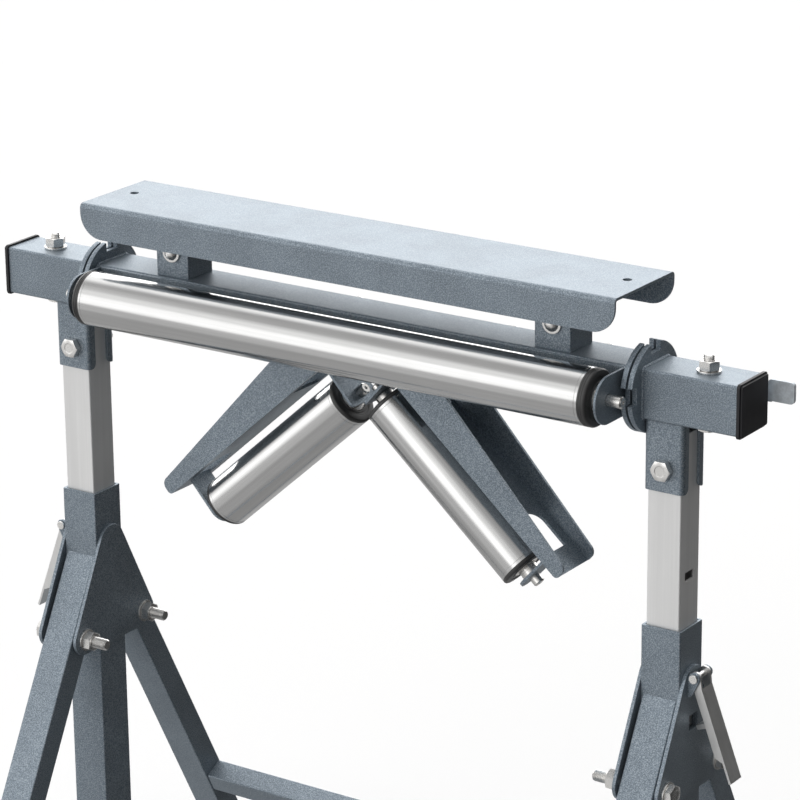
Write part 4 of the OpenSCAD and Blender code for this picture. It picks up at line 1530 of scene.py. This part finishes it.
@dataclass(frozen=True)
class BallUnits:
    """Ball cups with a rolled lip, a groove and a round bowl, in millimetres.

    The lip's points are places behind the cup's face and distances in from its rim; the bowl's are
    places behind the face and radii.
    """

    mouth: float = 0.5
    mouth_slope: tuple[float, float] = (0.3, 0.4)
    lip: tuple[tuple[float, float], ...] = (
        (0.0, 3.0), (0.4, 1.6), (1.4, 0.4), (2.6, 0.2), (3.2, 0.6), (3.8, 0.2), (4.4, 0.0))
    bowl: tuple[tuple[float, float], ...] = (
        (15.6, 0.0), (15.6, 5.0), (12.0, 9.2), (8.0, 11.2), (4.0, 11.4))
    back_edge: float = 1.0

    def build(self, kit: Kit) -> None:
        """Build the cups and dress the balls.

        Args:
            kit: The nodes, slots and finishes.
        """
        node = "ball_cups"
        meshes = []
        for index, points in enumerate(loose_parts(kit.nodes[node])):
            low, high = box_of(points)
            middle = (low + high) / 2.0
            axis = Spindle(Vector((middle.x, high.y, middle.z)), Vector((0.0, -1.0, 0.0)),
                           Vector((1.0, 0.0, 0.0)))
            deep, outer = (high.y - low.y) / MM, (high.x - low.x) / 2.0 / MM
            bore = min(axis.off(p) for p in points if axis.along(p) < self.mouth * MM) / MM
            slope, edge = self.mouth_slope, self.back_edge
            profile = list(self.bowl) + [(slope[0], bore), (0.0, bore + slope[1])]
            profile += [(place, outer - inward) for place, inward in self.lip]
            profile += [(deep - edge, outer), (deep, outer - edge), (deep, 0.0)]
            meshes.append(revolve(f"{node}_{index}", axis, turned(profile), CUP_STEPS))
        kit.stand_in(node, meshes)
        dress(kit.nodes["balls"], kit.finishes.ball)
        LOG.info("balls keep their mesh")


@dataclass(frozen=True)
class Base:
    """Outer posts, side plates, legs and latches."""

    sheet: float = 0.7
    latch_sheet: float = 0.4
    leg_thread: float = 34.0

    def build(self, kit: Kit) -> None:
        """Build the pieces that stand on the floor.

        Args:
            kit: The nodes, slots and finishes.
        """
        for node in ("outer_post_left", "outer_post_right", "gussets_inner", "gussets_outer",
                     "front_legs", "rear_legs", "front_cross_tube", "rear_cross_tube"):
            kit.soften(node, self.sheet)
        for node in ("gusset_plugs", "latch_ears", "latch_pins", "front_feet", "rear_feet"):
            kit.soften(node)
        for node in ("latch_left", "latch_right"):
            kit.soften(node, self.latch_sheet, kit.finishes.latch)
        HexBolts(thread=self.leg_thread).build(kit, "leg_bolts")
        HexNuts().build(kit, "leg_nuts")
        Washers().build(kit, "leg_washers")


@dataclass(frozen=True)
class Carrier:
    """Inner posts, beam stubs, fixed discs, post brackets and lock bars."""

    sheet: float = 0.7
    lock_sheet: float = 0.5
    clip_weld: float = 1.6

    def build(self, kit: Kit) -> None:
        """Build the pieces that slide up with the inner posts.

        Args:
            kit: The nodes, slots and finishes.
        """
        for node in ("inner_post_left", "inner_post_right", "clips_front", "clips_rear",
                     "fixed_discs"):
            kit.soften(node, self.sheet)
        for node in ("stub_left", "stub_right", "stub_caps", "pivot_bars", "lock_guides"):
            kit.soften(node)
        for node in ("lock_bar_left", "lock_bar_right", "lock_pin_left", "lock_pin_right"):
            kit.soften(node, self.lock_sheet, kit.finishes.lock)
        HexBolts().build(kit, "carrier_bolts")
        HexNuts().build(kit, "carrier_nuts")
        Washers().build(kit, "carrier_washers")
        bead, clip_bead = WeldBead(), WeldBead(self.clip_weld)
        bead.around_tube(kit, "weld_stub_left", "stub_left", kit.box("stub_left")[1].x)
        bead.around_tube(kit, "weld_stub_right", "stub_right", kit.box("stub_right")[0].x)
        clip_bead.along_edges(kit, "weld_clip_front", "clips_front", front=True)
        clip_bead.along_edges(kit, "weld_clip_rear", "clips_rear", front=False)


@dataclass(frozen=True)
class Head:
    """Beam, discs, plate, brackets, arms and everything on them."""

    sheet: float = 0.8
    block_nut: tuple[float, float] = (10.0, 16.0)

    def build(self, kit: Kit) -> None:
        """Build the turning head.

        Args:
            kit: The nodes, slots and finishes.
        """
        for node in ("plate", "roller_bracket", "arm_left", "arm_right", "turning_discs"):
            kit.soften(node, self.sheet)
        for node in ("beam", "turning_bushes", "plate_blocks"):
            kit.soften(node)
        DomeBolts().build(kit, "block_bolts")
        HexNuts(*self.block_nut).build(kit, "block_nuts")
        Washers().build(kit, "block_washers")
        low, high = kit.box("beam")
        WeldBead().around_tube(kit, "weld_beam_left", "beam", low.x)
        WeldBead().around_tube(kit, "weld_beam_right", "beam", high.x)
        Axles(("long_roller_spin",), "long_axle").build(kit)
        Axles(("left_roller_spin", "right_roller_spin"), "short_axles").build(kit)
        BallUnits().build(kit)


# Studio


@dataclass(frozen=True)
class Softbox:
    """A large soft light in the surroundings, with its place given in degrees."""

    name: str
    azimuth: float
    inner: float
    outer: float
    low: float
    high: float
    soft: float
    strength: float

    def facing(self) -> Vec3:
        """Return the level direction of its middle; 0 degrees is the front, 90 the right."""
        a = math.radians(self.azimuth)
        return (math.sin(a), -math.cos(a), 0.0)

    def brightness(self, sheet: NodeSheet, level: bpy.types.NodeSocket,
                   rise: bpy.types.NodeSocket) -> bpy.types.NodeSocket:
        """Make its brightness in each direction.

        Args:
            sheet: The world's sheet.
            level: The level part of the direction, of length one.
            rise: The sine of the direction's elevation.

        Returns:
            The brightness.
        """
        dot = sheet.add("ShaderNodeVectorMath", operation="DOT_PRODUCT")
        sheet.join(level, dot.inputs[0])
        dot.inputs[1].default_value = self.facing()
        heights = (self.low - self.soft, self.low + self.soft, self.high - self.soft,
                   min(90.0, self.high + self.soft))
        sine = [math.sin(math.radians(height)) for height in heights]
        masks = []
        if self.low > -90.0:
            masks.append(sheet.ramp(rise, sine[0], sine[1]))
        if self.high < 90.0:
            masks.append(sheet.ramp(rise, sine[2], sine[3], 1.0, 0.0))
        if self.inner < 180.0:
            edge, full = (math.cos(math.radians(v)) for v in (self.outer, self.inner))
            masks.append(sheet.ramp(dot.outputs["Value"], edge, full))
        mask = masks[0]
        for other in masks[1:]:
            mask = sheet.math("MULTIPLY", mask, other)
        return sheet.math("MULTIPLY", mask, self.strength)


SOFTBOXES = (
    Softbox("key_low", -33.0, 22.0, 48.0, -6.0, 22.0, 5.0, 1.6),
    Softbox("key_mid", -33.0, 22.0, 60.0, 22.0, 40.0, 6.0, 1.1),
    Softbox("key_high", -33.0, 30.0, 70.0, 40.0, 60.0, 6.0, 0.5),
    Softbox("under_low", -33.0, 35.0, 75.0, -28.0, -6.0, 6.0, 0.6),
    Softbox("under_deep", -33.0, 50.0, 90.0, -60.0, -28.0, 8.0, 0.42),
    Softbox("front_right", 35.0, 25.0, 55.0, 0.0, 50.0, 8.0, 0.42),
    Softbox("left", -95.0, 15.0, 45.0, -5.0, 45.0, 8.0, 0.57),
    Softbox("back_low", -145.0, 35.0, 70.0, 2.0, 35.0, 6.0, 3.3),
    Softbox("back_high", -145.0, 35.0, 70.0, 35.0, 62.0, 6.0, 1.3),
    Softbox("back_under", -150.0, 25.0, 60.0, -60.0, -2.0, 8.0, 0.45),
    Softbox("floor_glow", 0.0, 180.0, 180.0, -90.0, -58.0, 6.0, 0.32),
    Softbox("top", 0.0, 180.0, 180.0, 62.0, 90.0, 6.0, 1.35),
    Softbox("right", 95.0, 20.0, 60.0, -20.0, 60.0, 8.0, 0.02),
)


@dataclass(frozen=True)
class Studio:
    """Pale floor, soft lights around the stand, and the camera."""

    eye: Vec3 = (1.9072, -2.7290, 1.7988)
    azimuth: float = 34.324
    elevation: float = 18.486
    roll: float = 0.597
    lens: float = 156.98
    sensor: float = 36.0
    clip: tuple[float, float] = (0.05, 100.0)
    floor_half: float = 30.0
    floor_cells: int = 8
    floor_drop: float = 0.0005
    floor_tone: float = 0.90
    glow: Rgb = (1.0, 0.997, 0.995)
    backdrop: Rgb = (1.0, 1.0, 1.0)
    fill: float = 0.04
    lights: tuple[Softbox, ...] = SOFTBOXES

    def camera(self) -> None:
        """Add the camera at the fitted place."""
        a, e, r = (math.radians(v) for v in (self.azimuth, self.elevation, self.roll))
        back = Vector((math.sin(a) * math.cos(e), -math.cos(a) * math.cos(e), math.sin(e)))
        right = (-back).cross(Vector((0.0, 0.0, 1.0))).normalized()
        down = (-back).cross(right)
        right, down = (math.cos(r) * right + math.sin(r) * down,
                       math.cos(r) * down - math.sin(r) * right)
        turn = Matrix((right, -down, back)).transposed()
        data = bpy.data.cameras.new("photo_camera")
        data.lens = self.lens
        data.sensor_width = self.sensor
        data.clip_start, data.clip_end = self.clip
        camera = bpy.data.objects.new("photo_camera", data)
        camera.matrix_world = Matrix.Translation(Vector(self.eye)) @ turn.to_4x4()
        bpy.context.scene.collection.objects.link(camera)
        bpy.context.scene.camera = camera

    def floor(self) -> None:
        """Add the pale floor."""
        work = bmesh.new()
        bmesh.ops.create_grid(work, x_segments=self.floor_cells, y_segments=self.floor_cells,
                              size=self.floor_half)
        mesh = bpy.data.meshes.new("floor")
        work.to_mesh(mesh)
        work.free()
        floor = bpy.data.objects.new("floor", mesh)
        floor.location.z = -self.floor_drop
        bpy.context.scene.collection.objects.link(floor)
        material = bpy.data.materials.new("pale_floor")
        material.use_nodes = True
        material.node_tree.nodes.clear()
        sheet = NodeSheet(material.node_tree)
        shader = sheet.add("ShaderNodeBsdfDiffuse", Color=(*(self.floor_tone,) * 3, 1.0))
        open_way = sheet.add("ShaderNodeBsdfTransparent")
        seen = sheet.add("ShaderNodeLightPath").outputs["Is Camera Ray"]
        mixed = sheet.add("ShaderNodeMixShader")
        sheet.join(seen, mixed.inputs[0])
        sheet.join(open_way.outputs[0], mixed.inputs[1])
        sheet.join(shader.outputs[0], mixed.inputs[2])
        output = sheet.add("ShaderNodeOutputMaterial")
        sheet.join(mixed.outputs[0], output.inputs["Surface"])
        dress(floor, material)

    def surroundings(self) -> None:
        """Build the white studio with its soft lights."""
        world = bpy.data.worlds.new("studio")
        bpy.context.scene.world = world
        world.use_nodes = True
        world.node_tree.nodes.clear()
        sheet = NodeSheet(world.node_tree)
        way = sheet.add("ShaderNodeTexCoord").outputs["Generated"]
        split = sheet.add("ShaderNodeSeparateXYZ")
        sheet.join(way, split.inputs[0])
        flat = sheet.add("ShaderNodeCombineXYZ")
        sheet.join(split.outputs["X"], flat.inputs["X"])
        sheet.join(split.outputs["Y"], flat.inputs["Y"])
        level = sheet.add("ShaderNodeVectorMath", operation="NORMALIZE")
        sheet.join(flat.outputs[0], level.inputs[0])
        total = None
        for light in self.lights:
            part = light.brightness(sheet, level.outputs[0], split.outputs["Z"])
            total = part if total is None else sheet.math("ADD", total, part)
            LOG.info("soft light %s at %.2f", light.name, light.strength)
        total = sheet.math("ADD", total, self.fill)
        seen = sheet.add("ShaderNodeLightPath").outputs["Is Camera Ray"]
        glow = sheet.add("ShaderNodeBackground")
        sheet.join(total, glow.inputs["Strength"])
        glow.inputs["Color"].default_value = (*self.glow, 1.0)
        plain = sheet.add("ShaderNodeBackground", Strength=1.0)
        plain.inputs["Color"].default_value = (*self.backdrop, 1.0)
        mixed = sheet.add("ShaderNodeMixShader")
        sheet.join(seen, mixed.inputs[0])
        sheet.join(glow.outputs[0], mixed.inputs[1])
        sheet.join(plain.outputs[0], mixed.inputs[2])
        output = sheet.add("ShaderNodeOutputWorld")
        sheet.join(mixed.outputs[0], output.inputs["Surface"])

    def build(self) -> None:
        """Set up camera, floor and light."""
        self.camera()
        self.floor()
        self.surroundings()
        bpy.context.scene.view_settings.view_transform = "Standard"


def find_arm_lean(frame: dict) -> float:
    """Find how far the inclined rollers lean from the beam.


    Returns:
        The angle in radians.
    """
    joints = frame["record"]["behaviour"]["joints"]
    across, _, up = next(joint["axis"] for joint in joints if joint["name"] == "right_roller_spin")
    return math.atan2(-up, across)


def build_stand(frame: dict, finishes: Finishes) -> None:
    """Build every sub-assembly on the frame.

    Args:
        finishes: The finishes.
    """
    kit = Kit.of_frame(frame, finishes)
    Base().build(kit)
    Carrier().build(kit)
    Head().build(kit)
    for roller in (Roller("long_roller_spin", "long_roller", Along.X),
                   Roller("left_roller_spin", "left_roller", Along.LEFT_ARM),
                   Roller("right_roller_spin", "right_roller", Along.RIGHT_ARM)):
        roller.build(kit)


def main() -> None:
    """Build the scene."""
    logging.basicConfig(level=logging.INFO, format="%(name)s: %(message)s")
    random.seed(RANDOM_SEED)
    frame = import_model()
    Studio().build()
    build_stand(frame, Finishes(find_arm_lean(frame)))
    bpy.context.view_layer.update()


if __name__ == "__main__":
    main()
